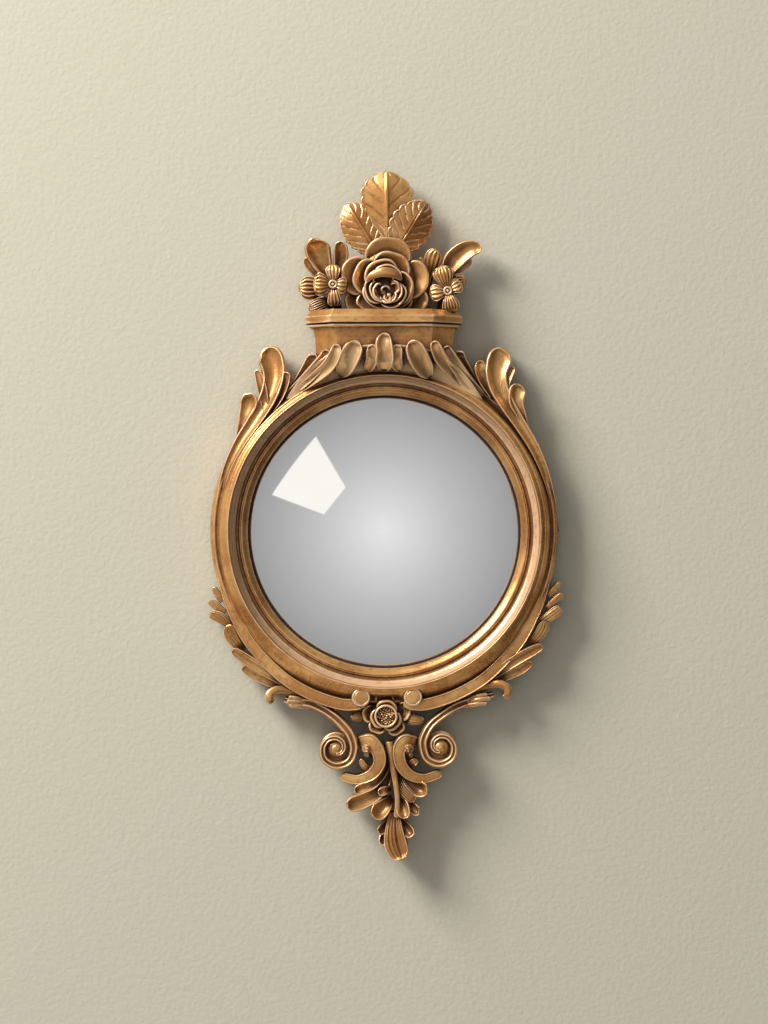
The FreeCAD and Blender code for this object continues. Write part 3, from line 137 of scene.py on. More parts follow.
class Builder:
    """Collects closed skins, in millimetres, and makes one mesh object of them."""

    def __init__(self):
        self.verts = []
        self.faces = []
        self.polys = []
        self.count = 0
        self.wear_and_shading = []

    def add(self, verts, faces, caps=()):
        """Take in a closed skin and turn its faces outwards."""
        verts = np.asarray(verts, float) * MM
        a, b, c, d = (verts[faces[:, k]] - verts.mean(axis=0) for k in range(4))
        if np.einsum("ij,ij->", a + b + c + d, np.cross(c - a, d - b)) < 0:
            faces = faces[:, ::-1]
            caps = [list(cap)[::-1] for cap in caps]
        self.verts.append(verts)
        self.wear_and_shading.append(convexity(verts, faces))
        self.faces.append(faces + self.count)
        self.polys += [[int(i) + self.count for i in cap] for cap in caps]
        self.count += len(verts)

    def lean_out(self, back, start, slope, radial):
        """Let the carving fall away from the middle of the object, so that its outer sides turn outwards."""
        for verts in self.verts:
            height = verts[:, 2] if radial else 0.0
            reach = np.hypot(verts[:, 0], height) / MM - start
            depth = -verts[:, 1] / MM
            share = 1 - slope * np.clip(reach / 20, 0, 2)
            verts[:, 1] = -np.where(depth > back, back + (depth - back) * share, depth) * MM

    def finish(self, name, node, material=None, slot="gilt_carving"):
        """Make the object, which rides on the frame in the place of its node."""
        mesh = bpy.data.meshes.new(name)
        mesh.from_pydata(np.vstack(self.verts).tolist(), [], np.vstack(self.faces).tolist() + self.polys)
        mesh.update()
        # Curvature per point; the gilding turns it into rubbed cream and painted highlight on edges, and
        # patina and painted shade in hollows.
        field = mesh.attributes.new("wear_and_shading", "FLOAT", "POINT")
        field.data.foreach_set("value", np.concatenate(self.wear_and_shading))
        mesh.shade_smooth()
        mesh.materials.append(material or GILT_CARVED)
        piece = add_object(name, mesh)
        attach(piece, "frame")
        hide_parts(node)


# ---------------- carved lobes


def edge_fall(u, start, width):
    """Rounding towards a lobe's edge, from 0 at start to 1 over width."""
    return np.clip((u - start) / width, 0, 1) ** 2


def flutes(across, count):
    """Hollow flutes side by side, down to -1."""
    return -(0.5 - 0.5 * np.cos(across * math.pi * count))


def front_profile(style, across):
    """Relief over a lobe's face: across runs from -1 to 1, result in units of the half width."""
    u = np.abs(across)
    crown = 1 - across ** 2
    if style == "round":
        return 0.62 * np.sqrt(np.clip(crown, 0, 1)) - 0.35
    if style == "strap":
        bead = 0.12 * np.exp(-((u - 0.8) / 0.08) ** 2)
        return 0.14 * crown + bead - 0.5 * edge_fall(u, 0.86, 0.14)
    if style == "veined":
        vein = 0.22 * np.exp(-(across / 0.09) ** 2)
        return 0.1 * flutes(across, 6) - 0.22 * crown + vein - 0.3 * edge_fall(u, 0.88, 0.12)
    if style == "ribbed":
        return -0.2 * np.cos(2 * math.pi * across) - 0.4 * edge_fall(u, 0.78, 0.22)
    if style == "shell":
        bowl = -0.4 * np.clip(1 - (across / 0.78) ** 2, 0, None)
        return bowl - 0.4 * edge_fall(u, 0.86, 0.14) + 0.12 * np.exp(-((u - 0.84) / 0.07) ** 2)
    if style == "gouge":
        bowl = -0.6 * np.clip(1 - (across / 0.8) ** 2, 0, None)
        return bowl - 0.35 * edge_fall(u, 0.84, 0.16)
    if style == "fluted":
        return 0.17 * flutes(across, 4) + (0.22 * crown - 0.25 * edge_fall(u, 0.86, 0.14))
    if style == "combed":
        return 0.22 * flutes(across, 6) + (0.35 * crown - 0.25 * edge_fall(u, 0.9, 0.1))
    raise ValueError(style)


def skirt(centre, out, rim, back):
    """Points down one side of a lobe, from under its rim to its back, drawn in a little."""
    points = []
    for share in (0.35, 0.7, 1.0):
        inset = 1 - 0.1 * share
        points.append((centre[0] + out[0] * inset, -(rim - (rim - back) * share), centre[1] + out[1] * inset))
    return points


def lobe(builder, stations, back, style, steps=56, across=27, tip=1.0, root=0.0):
    """A carved lobe along stations of x, z, half width and front depth, all in millimetres.

    tip and root are the lengths of the rounded ends, in half widths; a root of 0 is cut square.
    """
    given = np.asarray(stations, float)
    length = np.hypot(*(given[1:, :2] - given[:-1, :2]).T).sum()
    tip_length = max(given[-2, 2] * 0.5 + given[-1, 2] * 0.5, 0.4) * tip
    start = 1 - min(tip_length / length, 0.5)
    ends = start + (1 - start) * np.sin(np.linspace(0, math.pi / 2, 14))
    run = np.concatenate([np.linspace(0, start, steps, endpoint=False), ends])
    path = smooth_path(stations, run)
    even = np.linspace(0, 1, 200)
    ahead = np.gradient(smooth_path(stations, even)[:, :2], axis=0)
    ahead = np.stack([np.interp(run, even, ahead[:, k]) for k in range(2)], axis=1)
    ahead /= np.maximum(np.linalg.norm(ahead, axis=1), 1e-9)[:, None]
    side = np.stack([-ahead[:, 1], ahead[:, 0]], axis=1)
    near = np.clip((run - start) / (1 - start), 0, 1)
    rounding = np.sqrt(np.clip(1 - near ** 2, 0.0008, 1))
    if root:
        begin = min(given[0, 2] * root / length, 0.5)
        from_root = np.clip((begin - run) / begin, 0, 1)
        rounding = rounding * np.sqrt(np.clip(1 - from_root ** 2, 0.0008, 1))
    closing = ease(near, 0.45, 0.9)
    half = np.maximum(path[:, 2], 0.25) * rounding
    u = np.sin(np.linspace(-math.pi / 2, math.pi / 2, across))
    relief = front_profile(style, u)
    rings = []
    for i, width in enumerate(path[:, 2]):
        shape = relief * (1 - closing[i]) + relief.max() * closing[i]
        depth = path[i, 3] + shape * max(half[i], width * 0.5)
        depth = depth - 2 * width * np.clip(near[i] - 0.8, 0, 1) ** 1.5
        edge_drop = min(1.2, half[i] * 0.35)
        x = path[i, 0] + side[i, 0] * u * half[i]
        z = path[i, 1] + side[i, 1] * u * half[i]
        out = side[i] * half[i]
        right = skirt(path[i], out, depth[-1] - edge_drop, back)
        left = skirt(path[i], -out, depth[0] - edge_drop, back)
        rings.append(np.vstack([np.stack([x, -depth, z], axis=1), right, left[::-1]]))
    faces = grid_faces(len(rings), len(rings[0]), wrap_columns=True)
    first, last = end_rings(len(rings), len(rings[0]))
    builder.add(np.vstack(rings), faces, [first[::-1], last])


def px(points):
    """Stations from picture points: x, y, half width in pixels, front in millimetres."""
    return [(*from_photo(x, y), half * PIXEL, front) for x, y, half, front in points]


def dome(builder, centre, radius, back, front, crown, segments=48, rings=10):
    """Round boss with a crowned face; crown is its rise over its radius."""
    x, z = centre
    angles = np.linspace(0, 2 * math.pi, segments, endpoint=False)
    levels = np.linspace(0, math.pi / 2, rings)
    profile = [(radius * 0.96, back), (radius * 0.99, (back + front) / 2)]
    base = front - radius * crown
    profile += [(radius * math.cos(t), base + radius * crown * math.sin(t)) for t in levels[:-1]]
    profile += [(radius * 0.03, front)]
    verts = [[(x + r * math.cos(a), -d, z + r * math.sin(a)) for a in angles] for r, d in profile]
    verts = np.array(verts).reshape(-1, 3)
    faces = grid_faces(len(profile), segments, wrap_columns=True)[:, ::-1]
    first, last = end_rings(len(profile), segments)
    builder.add(verts, faces, [first, last[::-1]])


def sheet(builder, points, thickness):
    """Closed shell around a grid of points: offset both ways along its normals."""
    rows, columns = points.shape[:2]
    du = np.gradient(points, axis=0)
    dv = np.gradient(points, axis=1)
    normal = np.cross(dv, du)
    normal /= np.maximum(np.linalg.norm(normal, axis=2), 1e-9)[..., None]
    top = points + normal * (thickness / 2)
    bottom = points - normal * (thickness / 2)
    verts = np.vstack([top.reshape(-1, 3), bottom.reshape(-1, 3)])
    count = rows * columns
    upper = grid_faces(rows, columns)
    lower = upper[:, ::-1] + count
    rim = list(range(columns))
    rim += [r * columns + columns - 1 for r in range(1, rows)]
    rim += [(rows - 1) * columns + c for c in range(columns - 2, -1, -1)]
    rim += [r * columns for r in range(rows - 2, 0, -1)]
    rim = np.array(rim)
    after = np.roll(rim, -1)
    sides = np.stack([after, rim, rim + count, after + count], axis=1)
    builder.add(verts, np.vstack([upper, lower, sides]))


# ---------------- materials


def linear(red, green, blue):
    """Linear colour from 0 to 255 picture values."""
    def channel(value):
        value /= 255
        return value / 12.92 if value <= 0.04045 else ((value + 0.055) / 1.055) ** 2.4
    return channel(red), channel(green), channel(blue), 1.0


class Tree:
    """Short names for building a node tree."""

    def __init__(self, tree):
        self.tree = tree

    def new(self, kind):
        return self.tree.nodes.new(kind)

    def link(self, source, target):
        """Join a socket to another, or write a number or a colour into it."""
        if isinstance(source, (int, float, tuple)):
            target.default_value = source
        else:
            self.tree.links.new(source, target)

    def math(self, operation, first, second=0.0, clamp=False):
        node = self.new("ShaderNodeMath")
        node.operation = operation
        node.use_clamp = clamp
        self.link(first, node.inputs[0])
        self.link(second, node.inputs[1])
        return node.outputs[0]


class Nodes(Tree):
    """Short names for building a material's node tree."""

    def __init__(self, name):
        self.material = bpy.data.materials.new(name)
        self.material.use_nodes = True
        super().__init__(self.material.node_tree)
        self.shader = self.tree.nodes["Principled BSDF"]
        self.place = self.new("ShaderNodeTexCoord").outputs["Object"]

    def noise(self, scale, detail=3.0, roughness=0.55, stretch=None):
        node = self.new("ShaderNodeTexNoise")
        node.inputs["Scale"].default_value = scale
        node.inputs["Detail"].default_value = detail
        node.inputs["Roughness"].default_value = roughness
        source = self.place
        if stretch:
            mapping = self.new("ShaderNodeMapping")
            mapping.inputs["Scale"].default_value = stretch
            self.link(source, mapping.inputs["Vector"])
            source = mapping.outputs["Vector"]
        self.link(source, node.inputs["Vector"])
        return node.outputs["Fac"]

    def attribute(self, name):
        node = self.new("ShaderNodeAttribute")
        node.attribute_name = name
        return node.outputs["Fac"]

    def occlusion(self, distance):
        node = self.new("ShaderNodeAmbientOcclusion")
        node.samples = 6
        node.inputs["Distance"].default_value = distance
        return node.outputs["AO"]

    def ramp(self, source, low, high, start=0.0, end=1.0):
        node = self.new("ShaderNodeMapRange")
        node.interpolation_type = "SMOOTHSTEP"
        self.link(source, node.inputs["Value"])
        for name, value in zip(("From Min", "From Max", "To Min", "To Max"), (low, high, start, end)):
            node.inputs[name].default_value = value
        return node.outputs["Result"]

    def mix(self, share, first, second):
        node = self.new("ShaderNodeMix")
        node.data_type = "RGBA"
        self.link(share, node.inputs["Factor"])
        self.link(first, node.inputs["A"])
        self.link(second, node.inputs["B"])
        return node.outputs["Result"]

    def bump(self, height, strength, distance):
        node = self.new("ShaderNodeBump")
        node.inputs["Strength"].default_value = strength
        node.inputs["Distance"].default_value = distance
        self.link(height, node.inputs["Height"])
        self.link(node.outputs["Normal"], self.shader.inputs["Normal"])

    def set(self, name, value):
        self.link(value, self.shader.inputs[name])


TONED_GOLD = linear(160, 98, 44)
# Brown for patina and for painted shade in the hollows.
PATINA_AND_SHADE_BROWN = linear(78, 44, 16)
# Pale cream for rubbed wear and for painted highlight on the edges.
CREAM_RUB_AND_HIGHLIGHT = linear(232, 196, 158)


def gilding(name, speckle, bright, deep, cream_boost=0.0):
    """Old water gilding: gold; pinkish cream on the edges, part rubbed wear and part painted highlight; brown
    and speckled in the hollows, the brown part patina and part painted shade.

    speckle is the strength of the dark spots, bright and deep are the golds, and the last argument adds to
    the cream of rubbed wear and painted highlight.
    """
    n = Nodes(name)
    wear_and_shading = n.attribute("wear_and_shading")
    open_sky = n.occlusion(0.012)
    cloud = n.noise(28, 4)
    mottle = n.noise(260, 4, 0.6)
    grain = n.noise(1100, 3, 0.65)
    uneven = n.math("SUBTRACT", mottle, 0.5)
    gold = n.mix(n.ramp(cloud, 0.35, 0.65), linear(*bright), linear(*deep))
    gold = n.mix(n.ramp(mottle, 0.5, 0.72, 0.0, 0.55), gold, TONED_GOLD)
    # Patina and painted shade: brown where the ambient occlusion is strong and where the surface is concave.
    hollow = n.math("SUBTRACT", n.ramp(open_sky, 0.3, 0.95, 1.25, 0.0), wear_and_shading)
    hollow = n.math("ADD", hollow, n.math("MULTIPLY", uneven, 0.8))
    hollow = n.ramp(hollow, 0.15, 1.05)
    spots = n.ramp(grain, 0.52, 0.66, 0.0, speckle)
    patch = n.ramp(cloud, 0.42, 0.58)
    dark = n.math("MAXIMUM", hollow, n.math("MULTIPLY", spots, patch))
    colour = n.mix(dark, gold, PATINA_AND_SHADE_BROWN)
    # Pale cream on convex edges and on the cove: part rubbed wear, part painted highlight.
    rub_and_highlight = n.math("ADD", n.math("MULTIPLY", wear_and_shading, 1.5), n.math("MULTIPLY", uneven, 0.9))
    rub_and_highlight = n.ramp(n.math("ADD", rub_and_highlight, cream_boost), 0.35, 0.95, 0.0, 0.85)
    rub_and_highlight = n.math("MULTIPLY", rub_and_highlight, n.ramp(open_sky, 0.3, 0.7))
    n.set("Base Color", n.mix(rub_and_highlight, colour, CREAM_RUB_AND_HIGHLIGHT))
    metal = n.math("SUBTRACT", 0.7, n.math("MULTIPLY", dark, 0.4))
    n.set("Metallic", n.math("SUBTRACT", metal, n.math("MULTIPLY", rub_and_highlight, 0.35), True))
    rough = n.math("ADD", 0.24, n.math("MULTIPLY", dark, 0.28))
    n.set("Roughness", n.math("ADD", rough, n.math("MULTIPLY", mottle, 0.14)))
    n.set("Coat Weight", 0.15)
    n.set("Coat Roughness", 0.22)
    n.bump(n.math("ADD", mottle, n.math("MULTIPLY", grain, 0.5)), 0.28, 0.0004)
    return n.material


def plain(name, colour, roughness, metallic=0.0, scale=300, spread=0.12, stretch=None, bump=0.15):
    """A finish with its own fine variation of tone and surface."""
    n = Nodes(name)
    noise = n.noise(scale, 4, 0.6, stretch)
    base = linear(*colour)
    darker = tuple(c * (1 - spread * 2) for c in base[:3]) + (1.0,)
    n.set("Base Color", n.mix(n.ramp(noise, 0.3, 0.7), base, darker))
    n.set("Metallic", metallic)
    n.set("Roughness", n.ramp(noise, 0.2, 0.8, roughness, min(roughness + 0.12, 1)))
    n.bump(noise, bump, 0.0003)
    return n.material


def silvered(name):
    """Silvered glass with the faintest cloud in the silver."""
    n = Nodes(name)
    cloud = n.noise(18, 2)
    n.set("Base Color", n.mix(n.ramp(cloud, 0.3, 0.7), (0.93, 0.93, 0.93, 1), (0.915, 0.915, 0.915, 1)))
    n.set("Metallic", 1.0)
    n.set("Roughness", 0.035)
    return n.material


GILT = gilding("gilding_moulding", 0.9, (220, 168, 102), (180, 122, 64))
GILT_CARVED = gilding("gilding_carving", 0.45, (222, 172, 106), (184, 126, 68), 0.05)
# A lighter, more cream copy of the gilding for the leaf band on the neck: painted light.
GILT_PAINTED_LIGHTER = gilding("gilding_painted_lighter", 0.3, (240, 200, 142), (214, 162, 104), 0.6)
SILVERED = silvered("silvered_glass")
SEAL = plain("seal_black", (26, 20, 14), 0.6)
BOARD = plain("board_wood", (150, 112, 74), 0.65, scale=60, spread=0.2, stretch=(0.6, 4, 9), bump=0.3)
FELT = plain("packing_felt_grey", (120, 112, 102), 0.95, scale=900, spread=0.2, bump=0.6)
PADS = plain("pad_felt_dark", (58, 56, 54), 0.95, scale=900, spread=0.2, bump=0.6)
BRASS = plain("brass_satin", (214, 172, 98), 0.28, 1.0, 500, 0.1, (1, 1, 8))
STEEL = plain("steel_zinc", (178, 178, 174), 0.34, 1.0, 500, 0.1, (1, 1, 8))

for node_name, finish in (
    ("crest_neck", GILT_CARVED),
    ("glazing_seal", SEAL),
    ("backboard", BOARD),
    ("packing_disc", FELT),
    ("wall_bumpers", PADS),
    ("turn_button_1", BRASS),
    ("turn_button_2", BRASS),
    ("turn_button_3", BRASS),
    ("turn_button_4", BRASS),
    ("turn_button_screws", STEEL),
    ("hanger_plate", STEEL),
    ("hanger_screws", STEEL),
    ("hanger_ring", STEEL),
):
    for material_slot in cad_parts[node_name].material_slots:
        material_slot.material = finish


# ---------------- round moulding and glass

# Radius and front depth of the turned moulding, at the sides and top, and along its lower edge.
SIDE_PROFILE = [
    (91.3, 14.8), (91.3, 16.6), (92.0, 18.0), (93.2, 19.4), (94.6, 20.4), (95.6, 20.8), (96.0, 20.5),
    (96.1, 20.1), (96.4, 20.3), (96.9, 20.3), (97.2, 19.9), (97.35, 19.4), (98.2, 19.2), (99.1, 19.4),
    (99.4, 20.2), (100.4, 20.7), (101.5, 21.9), (102.4, 23.8), (103.2, 26.2), (103.8, 28.8), (104.15, 29.8),
    (104.5, 29.6), (105.2, 28.8), (106.2, 27.8), (107.2, 27.3), (107.9, 27.3), (108.4, 27.0), (109.2, 25.6),
    (110.1, 23.9), (110.8, 22.2), (111.2, 20.9), (111.9, 20.2), (112.6, 20.6), (113.4, 21.0), (114.2, 20.9),
    (114.9, 20.1), (115.8, 18.6), (116.4, 17.0), (116.6, 15.2), (116.6, 9.0), (116.6, 4.5), (116.2, 4.0),
    (106.0, 4.0), (97.0, 4.0), (97.0, 9.0), (97.0, 14.8),
]
LOWER_PROFILE = list(SIDE_PROFILE)
LOWER_PROFILE[21:38] = [
    (104.5, 29.7), (105.3, 28.9), (106.3, 28.0), (107.3, 27.2), (108.3, 26.4), (109.3, 25.7), (110.3, 25.0),
    (111.2, 24.3), (112.0, 23.7), (112.7, 23.2), (113.3, 22.7), (113.9, 22.2), (114.5, 21.6), (115.0, 21.0),
    (115.5, 20.2), (116.0, 19.2), (116.4, 17.6),
]


def dense(profile, count):
    """A profile resampled evenly, its corners kept crisp but not knife sharp."""
    rows = np.array(profile)
    lengths = np.hypot(*(rows[1:] - rows[:-1]).T)
    knots = np.concatenate([[0], np.cumsum(lengths)])
    places = np.linspace(0, knots[-1], count)
    return np.stack([np.interp(places, knots, rows[:, k]) for k in range(2)], axis=1)


def lower_share(angle):
    """How far the moulding has changed into its lower form, by degrees from straight down."""
    return ease(angle, 76, 40) * ease(angle, 4, 7)


PROFILE_POINTS = 190
RING_SEGMENTS = 900
DENSE_SIDE = dense(SIDE_PROFILE, PROFILE_POINTS)
DENSE_LOWER = dense(LOWER_PROFILE, PROFILE_POINTS)


def ring_outline(from_down):
    """The moulding's outline, by degrees from straight down."""
    share = lower_share(from_down) if from_down < 80 else 0.0
    if 0 < share < 1:
        outline = np.array(SIDE_PROFILE) * (1 - share) + np.array(LOWER_PROFILE) * share
        return dense(outline, PROFILE_POINTS)
    return DENSE_LOWER if share >= 1 else DENSE_SIDE


def moulding():
    """The turned ring, a touch uneven on its outer side, its cove painted lighter all round as a painted
    highlight band.
    """
    rows = []
    for angle in np.arange(RING_SEGMENTS) * 360 / RING_SEGMENTS:
        outline = ring_outline(abs((angle - 270 + 180) % 360 - 180))
        turn = math.radians(angle)
        wobble = 0.12 * math.sin(turn * 5 + 1) + 0.08 * math.sin(turn * 13)
        radius = outline[:, 0] + wobble * np.clip((outline[:, 0] - 99) / 4, 0, 1) * 0.5
        rows.append(np.stack([radius * math.cos(turn), -outline[:, 1], radius * math.sin(turn)], axis=1))
    builder = Builder()
    builder.add(np.vstack(rows), grid_faces(RING_SEGMENTS, PROFILE_POINTS, wrap_rows=True)[:, ::-1])
    radius = np.hypot(builder.verts[0][:, 0], builder.verts[0][:, 2]) / MM
    # Painted highlight: the cove is pushed towards pale cream all the way round the ring.
    builder.wear_and_shading[0] += 0.65 * ease(radius, 99.3, 100.2) * ease(radius, 103.9, 103.0)
    builder.finish("frame_moulding", "frame_ring", GILT, "gilt_moulding")


moulding()

# Degrees from straight down, radius, half width and front depth of the band on the lower edge.
BAND = [
    (76, 112.6, 3.4, 18.4), (68, 113.2, 3.8, 20.0), (61, 114.2, 4.0, 21.2), (50, 116.4, 4.1, 22.4),
    (36, 118.2, 4.2, 23.4), (25, 118.8, 4.25, 24.2), (15, 118.6, 4.3, 25.0), (9.5, 116.8, 4.2, 25.6),
    (6.5, 114.4, 3.0, 25.6),
]


def rim_band(name, side, knob, node):
    """Round band that swells along the lower edge and rolls up into a knob."""
    stations = [
        (side * r * math.sin(math.radians(a)), -r * math.cos(math.radians(a)), half, front)
        for a, r, half, front in BAND
    ]
    builder = Builder()
    lobe(builder, stations, RING_BACK, "strap", steps=150, across=35, tip=0.3)
    centre = from_photo(*knob)
    rim_ring(builder, centre, 5.2, 1.0, RING_BACK, 27.6)
    dome(builder, centre, 4.4, RING_BACK, 28.0, 0.1)
    builder.finish(name, node)


def rim_ring(builder, centre, radius, tube, back, front, segments=56, ring=14):
    """Raised round ring with a rounded face and straight sides down to its back."""
    x, z = centre
    turn = np.linspace(0, math.pi, ring)
    profile = [(radius + tube * math.cos(t), front - tube + tube * math.sin(t)) for t in turn]
    profile = [(radius + tube, back)] + profile + [(radius - tube, back)]
    angles = np.linspace(0, 2 * math.pi, segments, endpoint=False)
    verts = np.array([[(x + r * math.cos(a), -d, z + r * math.sin(a)) for r, d in profile] for a in angles])
    faces = grid_faces(segments, len(profile), wrap_rows=True, wrap_columns=True)[:, ::-1]
    builder.add(verts.reshape(-1, 3), faces)


GLASS_RADIUS = 96.0
GLASS_RISE = 17.6
GLASS_FRONT = 29.6
GLASS_INSIDE = 26.6
GLASS_BACK = 9.0
GLASS_SEGMENTS = 240


def domed_glass():
    """The silvered lens, finely enough divided to mirror without facets."""
    sphere = (GLASS_RADIUS ** 2 + GLASS_RISE ** 2) / (2 * GLASS_RISE)
    profile = []
    for radius in np.linspace(0.0, GLASS_RADIUS, 90):
        profile.append((max(radius, 0.01), GLASS_FRONT - sphere + math.sqrt(sphere ** 2 - radius ** 2)))
    profile += [(GLASS_RADIUS, 10.5), (GLASS_RADIUS, GLASS_BACK), (GLASS_RADIUS - 2, GLASS_BACK)]
    for radius in np.linspace(GLASS_RADIUS - 4, 0.0, 24):
        inside = GLASS_INSIDE - sphere + math.sqrt(sphere ** 2 - radius ** 2) - 0.2
        profile.append((max(radius, 0.01), inside))
    rings = []
    for a in np.linspace(0, 2 * math.pi, GLASS_SEGMENTS, endpoint=False):
        rings.append([(r * math.cos(a), -max(d, GLASS_BACK), r * math.sin(a)) for r, d in profile])
    builder = Builder()
    faces = grid_faces(GLASS_SEGMENTS, len(profile), wrap_rows=True)[:, ::-1]
    builder.add(np.array(rings).reshape(-1, 3), faces)
    builder.finish("domed_glass", "convex_glass", SILVERED, "mirror_glass")


rim_band("rim_scroll_band_left", -1, (361, 697.5), "rim_scroll_left")
rim_band("rim_scroll_band_right", 1, (413, 697), "rim_scroll_right")
domed_glass()


# ---------------- canted crest block


def canted(builder, half, face, front, levels):
    """Straight-sided block with canted corners; levels are height and outset, from the bottom up."""
    left, right = half
    face_left, face_right = face
    rows = []
    for height, outset in levels:
        side = front - (right - face_right)
        corners = [
            (left - outset, CREST_BACK), (left - outset, side + outset * 0.6),
            (face_left - outset * 0.4, front + outset), (face_right + outset * 0.4, front + outset),
            (right + outset, side + outset * 0.6), (right + outset, CREST_BACK),
        ]
        ring = []
        for a, b in zip(corners, corners[1:] + corners[:1]):
            for share in (0.0, 0.012, 0.25, 0.5, 0.75, 0.988):
                ring.append((a[0] + (b[0] - a[0]) * share, -(a[1] + (b[1] - a[1]) * share), height))
        rows.append(ring)
    faces = grid_faces(len(rows), len(rows[0]), wrap_columns=True)
    first, last = end_rings(len(rows), len(rows[0]))
    builder.add(np.array(rows).reshape(-1, 3), faces, [first, last[::-1]])


# Depth below the cap's top and outset of its edge, from the bottom up.
CAP_LEVELS = [
    (9.0, 0.0), (8.8, 0.3), (8.4, 0.35), (7.6, 0.4), (6.6, 0.4), (5.6, 0.45), (5.0, 0.5), (4.6, 0.5),
    (4.3, 0.2), (3.6, -0.6), (2.8, -1.4), (2.0, -2.1), (1.4, -2.6), (0.5, -3.2), (0.0, -3.9),
]


def crest_block():
    """The canted cap and the half-round moulding under it."""
    builder = Builder()
    levels = [(CAP_TOP - below, outset) for below, outset in CAP_LEVELS]
    canted(builder, (-52.2, 51.8), (-35.7, 32.6), 43.0, levels)
    builder.finish("crest_cap_moulding", "crest_cap", slot="gilt_moulding")
    builder = Builder()
    levels = [(CAP_TOP - 12.0, 0.1)]
    for t in np.linspace(-math.pi / 2, math.pi / 2, 12):
        levels.append((CAP_TOP - 10.7 + 1.3 * math.sin(t), 0.1 + 1.6 * math.cos(t)))
    levels += [(CAP_TOP - 9.05, 0.1)]
    canted(builder, (-48.6, 48.4), (-33.6, 31.4), 40.0, levels)
    builder.finish("crest_bead_moulding", "crest_bead", slot="gilt_moulding")


# ---------------- leaves, petals and flowers


# Share of a petal's fall that its cup is carved to, and front depth of the leaves behind the rose.
CUP_SHARE = 0.6
LEAF_FRONT = 15.5


def petal(builder, centre, radius, start, end, front, fall, base, curl=0.5, thickness=0.9, wave=0.35):
    """Curved petal round a centre of the picture: rises to a rim that rolls back."""
    cx, cz = from_photo(*centre)
    reach = radius * PIXEL
    around = np.linspace(0, 1, 44)[:, None]
    out = np.linspace(0, 1, 18)[None, :]
    angle = np.radians(start + (end - start) * around)
    edge = 1 - 0.3 * np.abs(2 * around - 1) ** 3.2
    r = reach * (base + (edge - base) * out) * (1 + 0.012 * np.sin(around * 17 + start))
    climb = np.clip(out / 0.9, 0, 1)
    rise = 0.35 * np.sin(climb * math.pi / 2) + 0.65 * climb ** 1.5
    roll = np.clip((out - 0.9) / 0.1, 0, 1)
    depth = front - CUP_SHARE * fall * (1 - rise) - curl * roll ** 2
    depth = depth + wave * np.sin(around * 9 + start * 0.1) * out - 1.4 * np.abs(2 * around - 1) ** 4
    sheet(builder, np.stack([cx + r * np.cos(angle), -depth, cz + r * np.sin(angle)], axis=2), thickness)


def rose_leaf(builder, foot, tip, half, lean, shoulder, teeth=7, veins=7, split=False):
    """Serrated leaf with a raised midrib and combed side veins; foot and tip are picture points."""
    foot = np.array(from_photo(*foot))
    tip = np.array(from_photo(*tip))
    axis = tip - foot
    across = np.array([axis[1], -axis[0]]) / np.linalg.norm(axis)
    half *= PIXEL
    u = np.linspace(0, 1, 110)[:, None]
    v = np.linspace(-1, 1, 61)[None, :]
    swell = np.clip(np.sin(math.pi * u ** shoulder), 0, 1) ** 0.55 + 0.05
    tooth = np.abs(np.sin(math.pi * teeth * (u ** 1.1) + 0.6))
    width = half * swell * (1 + 0.13 * (tooth ** 0.6 - 0.6) * np.clip((u - 0.1) * 6, 0, 1))
    x = foot[0] + axis[0] * u + across[0] * width * v
    z = foot[1] + axis[1] * u + across[1] * width * v
    slant = u - 0.3 * np.abs(v)
    phase = slant * veins - np.floor(slant * veins)
    groove = -0.34 * np.exp(-((phase - 0.5) / 0.11) ** 2) * np.clip(np.abs(v) * 6 - 0.4, 0, 1)
    groove = groove * np.clip((1.0 - np.abs(v)) * 6, 0, 1) * np.clip(u * 8, 0, 1)
    rib = 0.75 * np.exp(-(v * width / 0.55) ** 2) * np.clip((1.02 - u) * 3, 0, 1)
    if split:
        rib = rib - 1.1 * np.exp(-(v * width / 0.3) ** 2)
    fold = -0.2 * np.abs(v) * width + lean * v * width
    roll = -3.0 * np.clip((u - 0.72) / 0.28, 0, 1) ** 2 + 1.2 * np.sin(math.pi * u)
    rim = 0.35 * np.clip((np.abs(v) - 0.9) / 0.1, 0, 1)
    depth = LEAF_FRONT + fold + roll + groove + rib + rim
    sheet(builder, np.stack([x, -depth, z], axis=2), 2.2)
    return foot


def carving(name, node, lobes, back, style, fine=None, ground=None, lean=None, finish=None):
    """One carved piece of several lobes; a lobe may name its own style."""
    builder = Builder()
    if ground:
        ground(builder)
    for stations in lobes:
        kind = style
        if isinstance(stations, dict):
            kind = stations["style"]
            stations = stations["lobe"]
        lobe(builder, px(stations), back, kind, **(fine or {}))
    if lean:
        builder.lean_out(back, *lean)
    builder.finish(name, node, finish)


BLOSSOM_FRONT = 27.0
BLOSSOM_BACK = 15.0
# Share of a petal's length, of its width, and its rise in millimetres.
BLOSSOM_STATIONS = ((0.12, 0.34, -0.6), (0.4, 0.74, 0.9), (0.68, 1.0, 0.9), (0.88, 0.96, 0), (1, 0.72, -1))
STALK = {"steps": 24, "across": 13}


